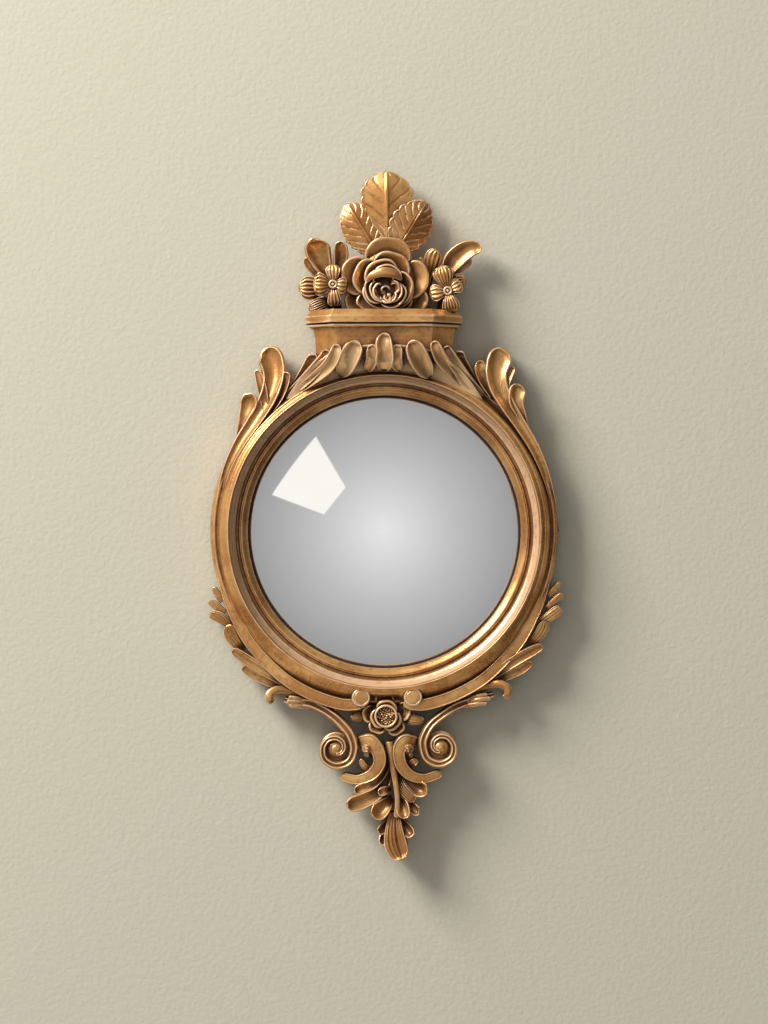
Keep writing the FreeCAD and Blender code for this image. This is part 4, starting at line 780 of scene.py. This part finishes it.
def blossom(name, node, eye, petals):
    """Small open flower: striated petals round a ringed eye."""
    builder = Builder()
    centre = from_photo(*eye)
    for angle, reach, half, lift, kind in petals:
        direction = np.array([math.cos(math.radians(angle)), math.sin(math.radians(angle))])
        stations = []
        for along, wide, rise in BLOSSOM_STATIONS:
            x, z = np.array(centre) + direction * reach * along * PIXEL
            stations.append((x, z, half * wide * PIXEL, BLOSSOM_FRONT + lift + rise))
        lobe(builder, stations, BLOSSOM_BACK, kind, steps=48, across=41)
    dome(builder, centre, 4.2, BLOSSOM_BACK - 6, BLOSSOM_FRONT - 0.5, 0.3)
    rim_ring(builder, centre, 2.3, 0.75, BLOSSOM_BACK, BLOSSOM_FRONT + 2.2, 40)
    dome(builder, centre, 1.1, BLOSSOM_BACK, BLOSSOM_FRONT + 1.8, 0.6, 24, 6)
    stalk = [(*centre, 2.6, BLOSSOM_BACK), (centre[0] * 0.95, CAP_TOP + 0.4, 2.6, BLOSSOM_BACK)]
    lobe(builder, stalk, CREST_CARVING_BACK, "round", **STALK)
    builder.finish(name, node)


def large_rose():
    """The open rose of overlapping cupped petals, and the petals and bud in its cup."""
    builder = Builder()
    dome(builder, from_photo(386, 277), 19.5, 13.0, 27.0, 0.35, 72)
    dome(builder, from_photo(386, 296), 13.5, 13.0, 26.0, 0.3, 72)
    for centre, radius, start, end, front, fall, base in (
        ((361, 298), 17, 150, 300, 24.0, 5, 0.3),
        ((411, 297), 18, 236, 400, 24.0, 5, 0.3),
        ((388, 270), 33, 22, 158, 25.5, 6, 0.4),
        ((366, 276), 25, 96, 262, 26.0, 6, 0.3),
        ((403, 277), 26, -95, 62, 25.5, 6, 0.3),
        ((376, 288), 26, 205, 268, 27.5, 6, 0.4),
        ((391, 288), 28, 262, 338, 27.0, 6, 0.4),
        ((386, 281), 29.5, 8, 128, 29.0, 7, 0.5),
        ((381, 281), 28, 104, 222, 29.8, 7, 0.5),
        ((387, 284), 29, 250, 372, 30.2, 7, 0.5),
        ((386, 284), 24.5, 48, 186, 32.0, 7, 0.55),
        ((385, 287), 24, 168, 296, 32.4, 7, 0.55),
        ((388, 286), 25, 280, 410, 32.0, 7, 0.55),
        ((386, 286), 20.5, 18, 142, 34.0, 7, 0.6),
        ((384, 289), 19.5, 128, 262, 34.4, 7, 0.6),
        ((387, 290), 20.5, 246, 382, 34.8, 7, 0.6),
        ((385, 288), 16.0, 150, 300, 36.6, 7, 0.66),
        ((386, 290), 16.6, 282, 396, 36.2, 7, 0.66),
        ((384, 288), 16.2, 36, 152, 37.6, 8, 0.62),
    ):
        petal(builder, centre, radius, start, end, front, fall, base)
    builder.finish("crest_rose_petals", "crest_rose")
    builder = Builder()
    dome(builder, from_photo(385, 290), 8.8, 26.0, 31.0, 0.2, 64)
    hood = [
        (366.5, 283, 1.6, 36.4), (372, 277, 3.4, 38.6), (383, 273.6, 5.0, 39.8), (394, 275.2, 4.2, 39.2),
        (402, 281, 1.8, 36.8),
    ]
    lobe(builder, px(hood), 30, "round", root=1.0)
    for x, y, radius, front in ((383, 293, 2.8, 33.6), (389, 296, 2.6, 33.8), (385.5, 299, 2.4, 34.6)):
        dome(builder, from_photo(x, y), radius * PIXEL, 28, front, 0.8, 28, 8)
    for centre, radius, start, end, front in (
        ((385, 291), 12.2, 150, 262, 37.4), ((386, 292), 12.6, 244, 350, 37.2),
        ((387, 290), 12.4, 330, 420, 36.8),
        ((386, 296), 7.6, 200, 330, 36.6), ((379.5, 290), 5.6, 60, 230, 36.4),
        ((393, 289.5), 5.8, -60, 120, 36.0),
        ((386, 292), 5.0, 20, 200, 35.6), ((388, 297.5), 4.2, 150, 330, 36.0),
    ):
        petal(builder, centre, radius, start, end, front, 5, 0.72, 0.8, 1.1)
    builder.finish("crest_rose_bud", "crest_rose_heart")


def crest_leaves():
    """The three serrated leaves behind the rose, each on its stalk."""
    for name, node, foot, tip, half, lean, options in (
        ("rose_leaf_top", "crest_leaf_top", (387, 242), (387, 171), 24.5, -0.04,
         {"shoulder": 1.75, "teeth": 6, "veins": 5}),
        ("rose_leaf_left", "crest_leaf_left", (380, 256), (347.5, 203), 19.0, -0.02, {"shoulder": 1.2}),
        ("rose_leaf_right", "crest_leaf_right", (394, 252), (425.5, 201), 19.5, -0.3,
         {"shoulder": 1.1, "teeth": 6, "split": True}),
    ):
        builder = Builder()
        x, z = rose_leaf(builder, foot, tip, half, lean, **options)
        stalk = [(x, z + 4, 2.4, 14), (x * 0.6, CAP_TOP + 0.3, 3.0, 13)]
        lobe(builder, stalk, CREST_CARVING_BACK, "round", **STALK)
        builder.finish(name, node)


def small_crest_pieces():
    """The flowers, small leaves and petals at the foot of the rose."""
    blossom("flower_left", "crest_flower_left", (333, 284.5), [
        (90, 20, 7.6, 0.4, "fluted"), (180, 20, 12.5, 0.2, "combed"), (-8, 15, 9.4, 0.6, "fluted"),
        (-84, 23, 7.2, 0.0, "fluted"), (232, 15, 6.0, -1.6, "fluted")])
    blossom("flower_right", "crest_flower_right", (447.7, 291), [
        (105, 26, 10.5, 0.4, "combed"), (190, 18.5, 9.4, 0.2, "fluted"), (28, 16, 8.2, 0.0, "fluted"),
        (-78, 22.5, 9.0, 0.6, "combed")])
    carving("cup_leaf_left", "crest_cup_leaf_left", [
        [(331, 309, 4, 14), (330, 290, 5, 14), (326, 274, 6, 15), (321.5, 262, 10.5, 17),
         (317.5, 250, 13.2, 21), (316.5, 241.5, 11.5, 25), (317, 237.5, 8, 25)],
        [(325, 280, 2.6, 14), (314, 270, 4.6, 16), (307.5, 261.5, 4.6, 18), (305.5, 256.5, 2.4, 19)],
    ], CREST_CARVING_BACK, "gouge", {"steps": 72, "across": 41}, lean=CREST_LEAN)
    carving("small_leaf_left", "crest_small_leaf_left", [
        [(338, 308, 4, 14), (336, 285, 4, 14), (338, 268, 4.6, 15), (340.5, 257, 7.4, 18),
         (340.5, 248, 7.2, 21), (337.5, 241, 4.6, 22)],
    ], CREST_CARVING_BACK, "gouge", {"steps": 64, "across": 33}, lean=CREST_LEAN)
    carving("petal_left", "crest_petal_left", [
        [(324, 288, 6, 17), (313, 287.5, 11.4, 21), (304, 287.5, 12, 22.5), (298, 288, 8.5, 21)],
    ], 12, "combed", {"steps": 60, "across": 61}, lean=CREST_LEAN)
    carving("low_leaf_left", "crest_low_leaf_left", [
        [(331, 300, 3.4, 20), (322, 303, 6.4, 23), (314, 306.5, 6.6, 24), (308.5, 309.5, 3.4, 23)],
    ], 13, "combed", {"steps": 60, "across": 61}, lean=CREST_LEAN)
    carving("tongue_leaf_right", "crest_tongue_leaf_right", [
        [(424, 309, 4, 14), (427, 288, 4.4, 14), (429.5, 274, 5, 15), (431.5, 263, 8.6, 18),
         (434.5, 254, 8.4, 20), (437.5, 248.5, 5.4, 21)],
    ], CREST_CARVING_BACK, "fluted", {"steps": 64, "across": 33}, lean=CREST_LEAN)
    carving("horn_leaf_right", "crest_horn_leaf_right", [
        [(440, 309, 4, 14), (444, 288, 5, 15), (447.5, 273, 6.4, 18), (452.5, 261.5, 10.2, 21),
         (461.5, 252.5, 10.6, 24), (472, 247.5, 8.6, 26.5), (482, 248.5, 5.0, 28)],
        {"style": "combed", "lobe": [(451, 275, 3, 15), (458, 268.5, 4.4, 17), (466, 262, 5.4, 19),
                                     (472, 258.5, 3.4, 21)]},
    ], CREST_CARVING_BACK, "gouge", {"steps": 72, "across": 41}, lean=CREST_LEAN)
    carving("bud_right", "crest_bud_right", [
        [(424, 300, 3, 14), (424, 276, 3.4, 15), (421.5, 264, 4.2, 17), (420.5, 256.5, 2.8, 17)],
    ], CREST_CARVING_BACK, "fluted")
    carving("petal_right", "crest_petal_right", [
        [(450, 284, 5, 17), (459, 281, 8.6, 19.5), (466.5, 280, 7.2, 19.5)],
    ], 12, "combed", {"steps": 48, "across": 61}, lean=CREST_LEAN)


crest_block()
large_rose()
crest_leaves()
small_crest_pieces()


# ---------------- leaf band on the neck, shoulders and sides


# Radius and depth at which the slope behind the leaf band starts on the ring.
GROUND_START = 106.0
GROUND_FRONT = 25.4


def frieze_ground(builder):
    """Hollow slope that rises from the ring's crest to the neck, behind the leaves."""
    angles = np.radians(np.linspace(128, 52, 120))[:, None]
    out = np.linspace(0, 1, 26)[None, :]
    spread = np.clip((np.abs(np.degrees(angles) - 90) - 14) / 24, 0, 1)
    end = 124.5 - 16.5 * spread ** 1.5
    radius = GROUND_START + (end - GROUND_START) * out
    depth = GROUND_FRONT + (37.4 - 15 * spread - GROUND_FRONT) * out ** 0.8
    points = np.stack([radius * np.cos(angles), -depth, radius * np.sin(angles)], axis=2)
    sheet(builder, points, 2.0)


FRIEZE = [
    [(384, 372, 12, 34), (384.6, 363, 10.5, 41), (385, 353, 9, 43.5), (384, 344, 8.6, 43.5),
     (386, 334, 5.6, 42)],
    [(367, 372, 5.5, 33), (371.8, 361, 6.4, 40.5), (372.2, 352, 6, 43), (370, 346, 4, 42.5)],
    [(399, 372, 5.5, 33), (396.2, 361, 6.4, 40.5), (396.8, 352, 5.8, 43), (398, 346, 4, 42.5)],
    [(340, 377, 8.5, 31), (347.5, 363, 10.8, 40), (353.5, 351, 10, 43.2), (357.5, 342, 6, 42.5)],
    [(430, 378, 8.5, 31), (421, 363, 10.8, 40), (415, 351, 10, 43.2), (411, 341.5, 6, 42.5)],
    [(295, 393, 3.4, 25), (314, 379, 5.8, 32), (328, 367.5, 6.8, 38), (335.3, 355.5, 6.4, 41.5),
     (337.2, 345, 4.6, 41)],
    [(469, 390, 3.4, 25), (454, 374, 5.8, 32), (443, 362.5, 6.8, 38), (436.7, 351.5, 6.2, 41.5),
     (433.5, 342, 4.6, 41)],
    [(285, 397, 3, 23), (303.5, 382, 6, 29), (315.5, 370, 6.8, 33), (324.5, 359, 6.2, 35),
     (327, 350, 3.8, 34)],
    [(484, 396, 3, 23), (467.5, 381, 6, 29), (457, 368, 6.8, 33), (449.2, 356, 6, 35),
     (445.5, 346.5, 3.8, 34)],
    [(291, 390, 2.8, 19), (304, 373, 5.4, 25), (311.5, 361, 6.6, 28), (312, 354, 5.2, 29)],
    [(481, 390, 2.8, 19), (468, 373, 5.4, 25), (460, 360, 6.6, 28), (460.5, 351, 5.2, 29)],
]
SHOULDER_LEFT = [
    [(213, 532, 0.9, 19), (218.8, 500, 3, 21), (226.5, 470, 4.4, 24), (239, 444, 6.2, 26),
     (254, 421, 7.6, 27), (266, 401, 9, 28.5), (272.5, 383, 10.5, 30), (273, 368, 12.4, 32),
     (269, 356, 13, 35), (262.5, 349.5, 8, 38)],
    [(266, 410, 3.4, 25), (262.5, 392, 5.2, 28), (259, 378, 4.6, 30), (256, 369.5, 2.6, 31)],
    [(268, 414, 3.4, 25), (278, 398, 5, 27), (284, 383, 5.4, 29), (287, 372, 3.8, 31)],
    [(238, 436, 2.4, 22), (244, 417, 6.2, 26), (248.5, 403, 9.2, 29), (247, 393, 7.6, 32)],
]
SHOULDER_RIGHT = [
    [(559, 532, 0.9, 19), (553, 500, 3, 21), (545, 472, 4.4, 24), (534, 447, 5.6, 26), (520, 424, 6.6, 27),
     (508.5, 406, 8, 28.5), (499.5, 389, 9.6, 30), (496.5, 373, 11.5, 32), (500.5, 358, 13, 35),
     (506, 348.5, 9.5, 38)],
    [(506, 398, 3.2, 25), (505.5, 384, 5, 28), (509.5, 372.5, 5.2, 30), (514, 366, 3.6, 31)],
    [(493, 396, 3.4, 25), (485, 382, 5.6, 27), (480.2, 369, 5.8, 29.5), (481.5, 360, 3.8, 31)],
    [(528, 431, 2.4, 22), (521.5, 415, 5.2, 26), (516.5, 402, 7.8, 29), (517.8, 390, 8.8, 32),
     (520, 384, 6, 33)],
]
SPRIG_LEFT = [
    [(222, 602, 3.2, 20), (216, 593.5, 3.2, 22), (213, 587.5, 2.2, 23)],
    [(224, 614, 3.4, 21), (215, 606, 3.8, 23), (208, 601.5, 2.6, 25)],
    [(230, 626, 4.4, 21), (219.5, 618, 5.6, 24), (209, 614, 4.8, 26)],
    [(243, 651, 3.4, 20), (237, 643.5, 6.8, 23), (231, 634, 8, 25), (228, 625, 5.4, 26)],
]
SPRIG_RIGHT = [
    [(549, 596, 3.2, 20), (556, 589, 3.2, 22), (560.5, 583, 2.8, 24)],
    [(548, 608, 3.2, 21), (556, 600, 3.4, 23), (563, 594, 3.2, 25)],
    [(542, 622, 4.4, 21), (553, 614.5, 5.6, 24), (562, 608, 5.4, 26)],
    [(530, 645, 3.2, 20), (538, 637, 5.6, 23), (543.5, 628.5, 6, 25), (545, 621, 4.4, 26)],
]
LOWER_LEFT = [
    [(294, 694, 2.4, 19), (280, 687, 4.6, 22), (265, 680.5, 5.2, 24), (251, 673.5, 5.2, 25.5),
     (242, 667, 4, 26.5)],
    [(303, 692, 2.4, 20), (285, 683, 4.6, 23.5), (269, 673.5, 5.6, 26), (253, 664, 6, 28),
     (240, 655.5, 5.4, 30), (232, 649.5, 3.6, 31)],
]
LOWER_RIGHT = [
    [(480, 691, 2.4, 19), (494, 683, 4.6, 22), (508, 676, 5.2, 24), (522, 669.5, 5.2, 25.5),
     (532, 662, 4, 26.5)],
    [(470, 689, 2.4, 20), (489, 678, 4.6, 23.5), (506, 667, 5.6, 26), (521, 657.5, 6, 28),
     (534, 650.5, 5.4, 30), (543, 646, 3.6, 31)],
]
HOOK_LEFT = [
    [(303, 695.5, 3.2, 19), (288, 691, 3.4, 21), (277, 690, 3.8, 23), (269.5, 694.5, 4.2, 24.5),
     (269.5, 700.8, 3.6, 24.5), (273, 702.5, 2.4, 23)],
]
HOOK_RIGHT = [
    [(469, 692.5, 3.2, 19), (485, 687, 3.4, 21), (498, 684, 3.9, 23), (507, 688, 4.3, 24.5),
     (507.8, 694.8, 3.8, 24.5), (503.5, 697.5, 2.6, 23)],
]
FINE = {"steps": 80, "across": 41}
# The leaf band takes the lighter copy of the gilding, which is painted light.
carving("frieze_leaf_band", "frieze_leaves", FRIEZE, 14, "shell", {"steps": 64, "across": 35, "root": 1.3},
        frieze_ground, finish=GILT_PAINTED_LIGHTER)
for name, node, style, fine, lean, pair in (
    ("shoulder_spray", "shoulder_leaf", "gouge", FINE, RING_LEAN, (SHOULDER_LEFT, SHOULDER_RIGHT)),
    ("sprig", "side_sprig", "fluted", None, RING_LEAN, (SPRIG_LEFT, SPRIG_RIGHT)),
    ("lower_spray", "lower_leaf", "shell", FINE, RING_LEAN, (LOWER_LEFT, LOWER_RIGHT)),
    ("hook", "hook_curl", "round", FINE, None, (HOOK_LEFT, HOOK_RIGHT)),
):
    carving(name + "_left", node + "_left", pair[0], RING_BACK, style, fine, lean=lean)
    carving(name + "_right", node + "_right", pair[1], RING_BACK, style, fine, lean=lean)


# ---------------- apron


def scroll(name, node, stem, eye, side, radii, fingers):
    """Volute: a ribbed stem from the ring that winds once and a quarter round a raised eye."""
    builder = Builder()
    stations = px(stem)
    x, z = from_photo(*eye)
    for step, (radius, half) in enumerate(radii):
        turn = math.radians(45 * step)
        place = (x - side * radius * math.cos(turn), z - radius * math.sin(turn))
        stations.append((*place, half, 24.5 + 0.15 * step))
    lobe(builder, stations, APRON_BACK, "ribbed", steps=260, across=31)
    dome(builder, (x, z), radii[0][0] * 0.93, APRON_BACK, 21.6, 0.12, 72)
    dome(builder, (x, z), 6.0, 8, 24.6, 0.45)
    dome(builder, (x, z), 3.1, 8, 26.6, 0.5)
    for finger in fingers:
        lobe(builder, px(finger), APRON_BACK, "round", steps=30, across=13)
    builder.finish(name, node)


SEEDS = 46
GOLDEN_ANGLE = 2.39996


def seeded_rose():
    """The small rose of the apron: two rings of petals round a rimmed heart full of seeds."""
    builder = Builder()
    dome(builder, from_photo(386, 715.4), 10.0, APRON_BACK, 20.5, 0.3, 64)
    for centre, radius, start, end, front in (
        ((385, 707), 14.5, 38, 152, 22.5), ((375, 714), 12.5, 120, 246, 22.8),
        ((398, 712), 12.5, -70, 76, 22.6), ((380, 721), 13.5, 190, 300, 23.2),
        ((393, 722), 14, 240, 352, 23.0), ((386, 715), 14.6, 20, 150, 25.0),
        ((385, 716), 14.4, 140, 265, 25.2), ((387, 717), 14.8, 255, 385, 25.4),
    ):
        petal(builder, centre, radius, start, end, front, 4.5, 0.5, 1.3, 1.1, 0.3)
    builder.finish("apron_rose_petals", "apron_rose")
    builder = Builder()
    x, z = from_photo(386, 716)
    rim_ring(builder, (x, z), 7.0, 0.75, 19, 28.2, 64)
    dome(builder, (x, z), 6.8, 19, 24.0, 0.15, 48)
    for index in range(SEEDS):
        turn = index * GOLDEN_ANGLE
        reach = 6.0 * math.sqrt((index + 0.5) / SEEDS)
        seed = (x + reach * math.cos(turn), z + reach * math.sin(turn))
        dome(builder, seed, rng.uniform(0.55, 1.0), 22, rng.uniform(24.4, 26.4), 0.9, 14, 6)
    builder.finish("apron_rose_seeds", "apron_rose_heart")


STEM_LEFT = [
    (284, 700, 3, 19), (292.4, 702.6, 4.5, 20), (309, 703.6, 5.4, 21), (321.5, 709, 4.8, 22),
    (333.1, 716.4, 5, 23), (343, 725.6, 5.2, 24), (350.5, 735.5, 5.2, 24.5),
]
STEM_RIGHT = [
    (494, 695, 3, 19), (474.4, 700.5, 4.6, 20), (456.5, 706.7, 5, 21), (442.5, 715.6, 4.6, 22.5),
    (431, 725.5, 4.6, 24), (424.2, 737.5, 4.8, 24.5),
]
RADII_LEFT = [(11.6, 3.2), (12, 3.1), (11.4, 2.9), (10.6, 2.6), (9.2, 2.3), (8.2, 2.1), (7.1, 2), (6, 1.8),
              (4.9, 1.6), (4.1, 1.4), (3.5, 1.2)]
RADII_RIGHT = [(11.2, 3.2), (11.6, 3.1), (11.4, 2.9), (10.8, 2.6), (9.4, 2.3), (8.2, 2.1), (7, 2),
(5.8, 1.8), (4.7, 1.6), (3.9, 1.4), (3.3, 1.2)]
FINGERS_LEFT = [
    [(306, 701, 2, 20), (296, 698.5, 2.2, 22), (288.5, 697.5, 1.8, 22)],
    [(306, 704, 2, 20), (295, 702.5, 2.3, 22.5), (286.5, 701.5, 1.9, 22.5)],
    [(308, 707, 2, 20), (297, 706.5, 2.3, 22), (289, 705.5, 1.8, 22)],
]
FINGERS_RIGHT = [
    [(468, 700, 2, 20), (478, 696.5, 2.3, 22), (487.5, 694.8, 1.9, 22)],
    [(467, 703, 2, 20), (479, 700, 2.3, 22.5), (490.5, 698.5, 1.9, 22.5)],
    [(465, 706.5, 2, 20), (477, 704.5, 2.3, 22), (487, 703.5, 1.8, 22)],
]
SCROLL_LEFT = [
    {"style": "combed", "lobe": [(376, 752, 3.4, 22), (368.5, 748.5, 4.6, 27), (362, 750, 3.4, 26)]},
    [(357, 742.5, 4, 20), (363, 741.5, 6.6, 24), (370.5, 742.5, 8.6, 26), (377.5, 750.5, 7.4, 25.5),
     (379.5, 763, 6.8, 25), (372, 774.5, 6.2, 24), (358.5, 780, 5.2, 23), (346.5, 778, 4.8, 22),
     (341, 776.5, 3.6, 21)],
    [(374, 757, 3.2, 20), (368.5, 753.5, 3.6, 23.5), (364.5, 756, 2.6, 23)],
    [(371, 771, 3, 20), (364.5, 766.5, 3.4, 22.5), (360, 759.5, 2.8, 22.5)],
]
SCROLL_RIGHT = [
    {"style": "combed", "lobe": [(401, 752, 3.4, 22), (407.5, 748.5, 4.6, 27), (413.5, 750, 3.4, 26)]},
    [(418, 742.5, 4, 20), (412, 741.5, 6.4, 24), (404.5, 742.5, 8.4, 26), (399, 751.5, 6.8, 25.5),
     (401.5, 765.5, 6.4, 25), (410.5, 775.5, 5.8, 24), (423.5, 779, 5, 23), (436, 775.5, 4.8, 22),
     (442, 773, 3.6, 21)],
    [(405, 760, 3, 20), (409, 755, 3.4, 23.5), (413, 756.5, 2.4, 23)],
    [(409, 768, 3, 20), (413, 763, 4, 23), (418, 761, 3.4, 23)],
]
PENDANT = [
    {"style": "round", "lobe": [(389.5, 742, 4.2, 21), (391, 752, 4, 22), (393, 768, 3.2, 22.5),
                                (396, 786, 2.6, 23), (397.5, 802, 2.4, 23.5), (396.5, 818, 2.8, 23)]},
    [(389, 755, 3.4, 16), (384, 771, 4.8, 20), (374, 783, 5.4, 22.5), (362, 789, 5.8, 24),
     (354, 791.5, 4.4, 24)],
    [(390, 770, 3.4, 16), (382.5, 788, 6.4, 20), (370, 798, 8, 23), (356, 803.5, 8.4, 25.5),
     (346.5, 805.5, 6.4, 27)],
    [(391, 790, 2.6, 18), (385, 791, 4.4, 24), (378, 793.5, 4.2, 25)],
    [(392, 800, 3.4, 16), (387, 804, 7, 21), (379, 811.5, 9.8, 24.5), (371.5, 815.5, 6.6, 26)],
    {"style": "combed", "lobe": [(397, 774, 3.4, 16), (402, 788, 6, 20), (410, 797, 6, 22),
                                 (416, 801, 3.6, 22)]},
    [(400, 772, 3.4, 16), (408, 783, 7, 20), (419, 789, 9.2, 23), (428, 789, 8, 26)],
    [(399, 794, 3.4, 16), (408, 804, 5.4, 20), (416, 811.5, 5.6, 22.5), (419.5, 813, 3.8, 22.5)],
    [(398, 795, 3.4, 18), (402, 806, 7, 23), (404, 814.5, 6.6, 25), (404.5, 819, 4.2, 25)],
]
TIP = [
    {"style": "veined", "lobe": [(394.5, 813, 5, 20), (394, 830, 9, 23), (395.5, 844, 11.4, 24.5),
                                 (399.5, 855, 9.6, 25.5), (401.5, 860, 6, 26)]},
    [(391, 821, 4.4, 18), (384, 829, 5.8, 21), (377.5, 832, 3.8, 23)],
    [(389, 829, 4.4, 18), (384.6, 840, 6.2, 21), (383.6, 846, 4.4, 22.5)],
    [(399, 821, 4.6, 18), (406.5, 830, 6.6, 21), (412.5, 837, 5.6, 23.5)],
    [(401, 835, 3.8, 17), (404, 843, 4.4, 19), (405.4, 847.5, 3, 21)],
]

scroll("volute_left", "apron_volute_left", STEM_LEFT, (336.4, 748.8), -1, RADII_LEFT, FINGERS_LEFT)
scroll("volute_right", "apron_volute_right", STEM_RIGHT, (440, 746.9), 1, RADII_RIGHT, FINGERS_RIGHT)
carving("c_scroll_left", "apron_scroll_left", SCROLL_LEFT, APRON_BACK, "strap", {**FINE, "steps": 140})
carving("c_scroll_right", "apron_scroll_right", SCROLL_RIGHT, APRON_BACK, "strap", {**FINE, "steps": 140})
seeded_rose()
carving("small_leaf_apron_left", "apron_leaf_left", [
    [(370, 716, 3.2, 18), (362, 717, 4.8, 21), (355, 717.5, 4.2, 22),
     (350.5, 716.5, 2.2, 22)]], 8, "combed")
carving("small_leaf_apron_right", "apron_leaf_right", [
    [(402, 718, 3.6, 18), (410, 719.5, 5.6, 21), (418, 720.5, 4.8, 22), (424, 719, 2.4, 22)]], 8, "combed")
carving("pendant_spray", "pendant_leaf", PENDANT, APRON_BACK, "gouge", FINE)
carving("pendant_end", "pendant_tip", TIP, APRON_BACK, "gouge", FINE)


# ---------------- wall, floor, light and camera


def wall_paint(name, colour, texture):
    """Matt paint; the wall's own has a roller grain and is seen through from behind."""
    n = Nodes(name)
    roller = n.noise(330, 3, 0.55)
    tone = linear(*colour)
    n.set("Base Color", n.mix(n.ramp(roller, 0.3, 0.7), tone, tuple(c * 0.97 for c in tone[:3]) + (1.0,)))
    n.set("Roughness", 0.9)
    n.set("Specular IOR Level", 0.15)
    if texture:
        n.bump(roller, 0.35, 0.0009)
        clear = n.new("ShaderNodeBsdfTransparent")
        facing = n.new("ShaderNodeNewGeometry")
        switch = n.new("ShaderNodeMixShader")
        output = n.tree.nodes["Material Output"]
        n.link(facing.outputs["Backfacing"], switch.inputs["Fac"])
        n.link(n.shader.outputs["BSDF"], switch.inputs[1])
        n.link(clear.outputs["BSDF"], switch.inputs[2])
        n.link(switch.outputs["Shader"], output.inputs["Surface"])
    return n.material


def stage_plane(name, corners, material):
    """One flat face of the surroundings, which isn't part of the object."""
    mesh = bpy.data.meshes.new(name)
    mesh.from_pydata(corners, [], [(0, 1, 2, 3)])
    mesh.materials.append(material)
    plane = add_object(name, mesh)
    return plane


WALL_BACK = 0.0006
stage_plane("wall", [(-3, WALL_BACK, -1.2), (3, WALL_BACK, -1.2), (3, WALL_BACK, 2.6),
(-3, WALL_BACK, 2.6)],
            wall_paint("wall_paint", (192, 187, 169), True))
stage_plane("floor", [(-1.2, -0.5, -1.2), (1.2, -0.5, -1.2), (1.2, 0.6, -1.2), (-1.2, 0.6, -1.2)],
            wall_paint("floor_paint", (222, 218, 208), False))

LIGHT_DISTANCE = 1.3
WINDOW_CORNERS = [
    (-0.378, -0.832, 0.521), (-0.216, -0.96, 0.243), (-0.336, -0.952, 0.091), (-0.621, -0.828, 0.198),
]


def soft_window(strength):
    """Bright soft panel at the upper left in front, seen as a white patch in the glass."""
    n = Nodes("window_light")
    emission = n.new("ShaderNodeEmission")
    emission.inputs["Color"].default_value = (1.0, 0.965, 0.91, 1)
    emission.inputs["Strength"].default_value = strength
    n.link(emission.outputs["Emission"], n.tree.nodes["Material Output"].inputs["Surface"])
    corners = [tuple(LIGHT_DISTANCE * c for c in corner) for corner in WINDOW_CORNERS]
    panel = stage_plane("window_panel", corners, n.material)
    panel.visible_camera = False


soft_window(1.03)
KEY_PLACE = Vector((-1.6, -1.15, 1.6))
lamp = bpy.data.lights.new("key", "AREA")
lamp.shape = "RECTANGLE"
lamp.size = 1.1
lamp.size_y = 1.1
lamp.energy = 100.0
lamp.color = (1.0, 0.98, 0.95)
key = add_object("key", lamp)
key.location = KEY_PLACE
key.rotation_euler = (-KEY_PLACE).to_track_quat("-Z", "Y").to_euler()


GLOW_DIRECTION = Vector((-0.6, -0.1, 0.79)).normalized()
GLOW_STRENGTH = 15.0
GLOW_START = 0.8
# Brightness of the surround, by the share of a half turn away from straight in front.
ROOM_LEVELS = ((0.0, 0.86), (0.12, 0.56), (0.24, 0.34), (0.3, 0.22), (0.42, 0.17), (0.75, 0.3))


def room_light():
    """Soft surround: bright in front, dimmer behind, lighter at the upper left, a glow high on the left."""
    world = bpy.data.worlds.new("room")
    bpy.context.scene.world = world
    world.use_nodes = True
    n = Tree(world.node_tree)
    place = n.new("ShaderNodeTexCoord").outputs["Generated"]
    split = n.new("ShaderNodeSeparateXYZ")
    n.link(place, split.inputs[0])
    x, y, z = (split.outputs[axis] for axis in "XYZ")
    front = n.math("MULTIPLY", y, -1.0)
    angle = n.math("ARCCOSINE", n.math("MINIMUM", n.math("MAXIMUM", front, -1.0), 1.0))
    ramp = n.new("ShaderNodeValToRGB")
    ramp.color_ramp.interpolation = "LINEAR"
    n.link(n.math("MULTIPLY", angle, 1 / math.pi), ramp.inputs["Fac"])
    stops = ramp.color_ramp.elements
    for index, (position, value) in enumerate(ROOM_LEVELS):
        stop = stops[index] if index < 2 else stops.new(position)
        stop.position = position
        stop.color = (value, value, value, 1)
    lean = n.math("ADD", n.math("MULTIPLY", x, -0.75), n.math("MULTIPLY", z, 0.65))
    away = n.math("SUBTRACT", 1.0, n.math("MULTIPLY", front, front))
    outer = n.math("MULTIPLY", n.math("SUBTRACT", away, 0.42), 1 / 0.3, True)
    factor = n.math("ADD", 1.0, n.math("MULTIPLY", n.math("MULTIPLY", lean, outer), 1.1))
    factor = n.math("MAXIMUM", factor, 0.05)
    toward = n.math("MULTIPLY", x, GLOW_DIRECTION[0])
    toward = n.math("ADD", toward, n.math("MULTIPLY", y, GLOW_DIRECTION[1]))
    toward = n.math("ADD", toward, n.math("MULTIPLY", z, GLOW_DIRECTION[2]))
    glow = n.math("MULTIPLY", n.math("SUBTRACT", toward, GLOW_START), 1 / 0.2, True)
    factor = n.math("ADD", factor, n.math("MULTIPLY", n.math("MULTIPLY", glow, glow), GLOW_STRENGTH))
    background = n.tree.nodes["Background"]
    n.link(ramp.outputs["Color"], background.inputs["Color"])
    n.link(factor, background.inputs["Strength"])


room_light()

camera_data = bpy.data.cameras.new("camera")
camera_data.sensor_fit = "VERTICAL"
camera_data.sensor_height = 36.0
camera_data.lens = 114.7
camera = add_object("camera", camera_data)
camera.location = (-0.0002, -2.2, 0.0132)
camera.rotation_euler = (math.pi / 2, 0, 0)
bpy.context.scene.camera = camera
bpy.context.scene.view_settings.view_transform = "Standard"
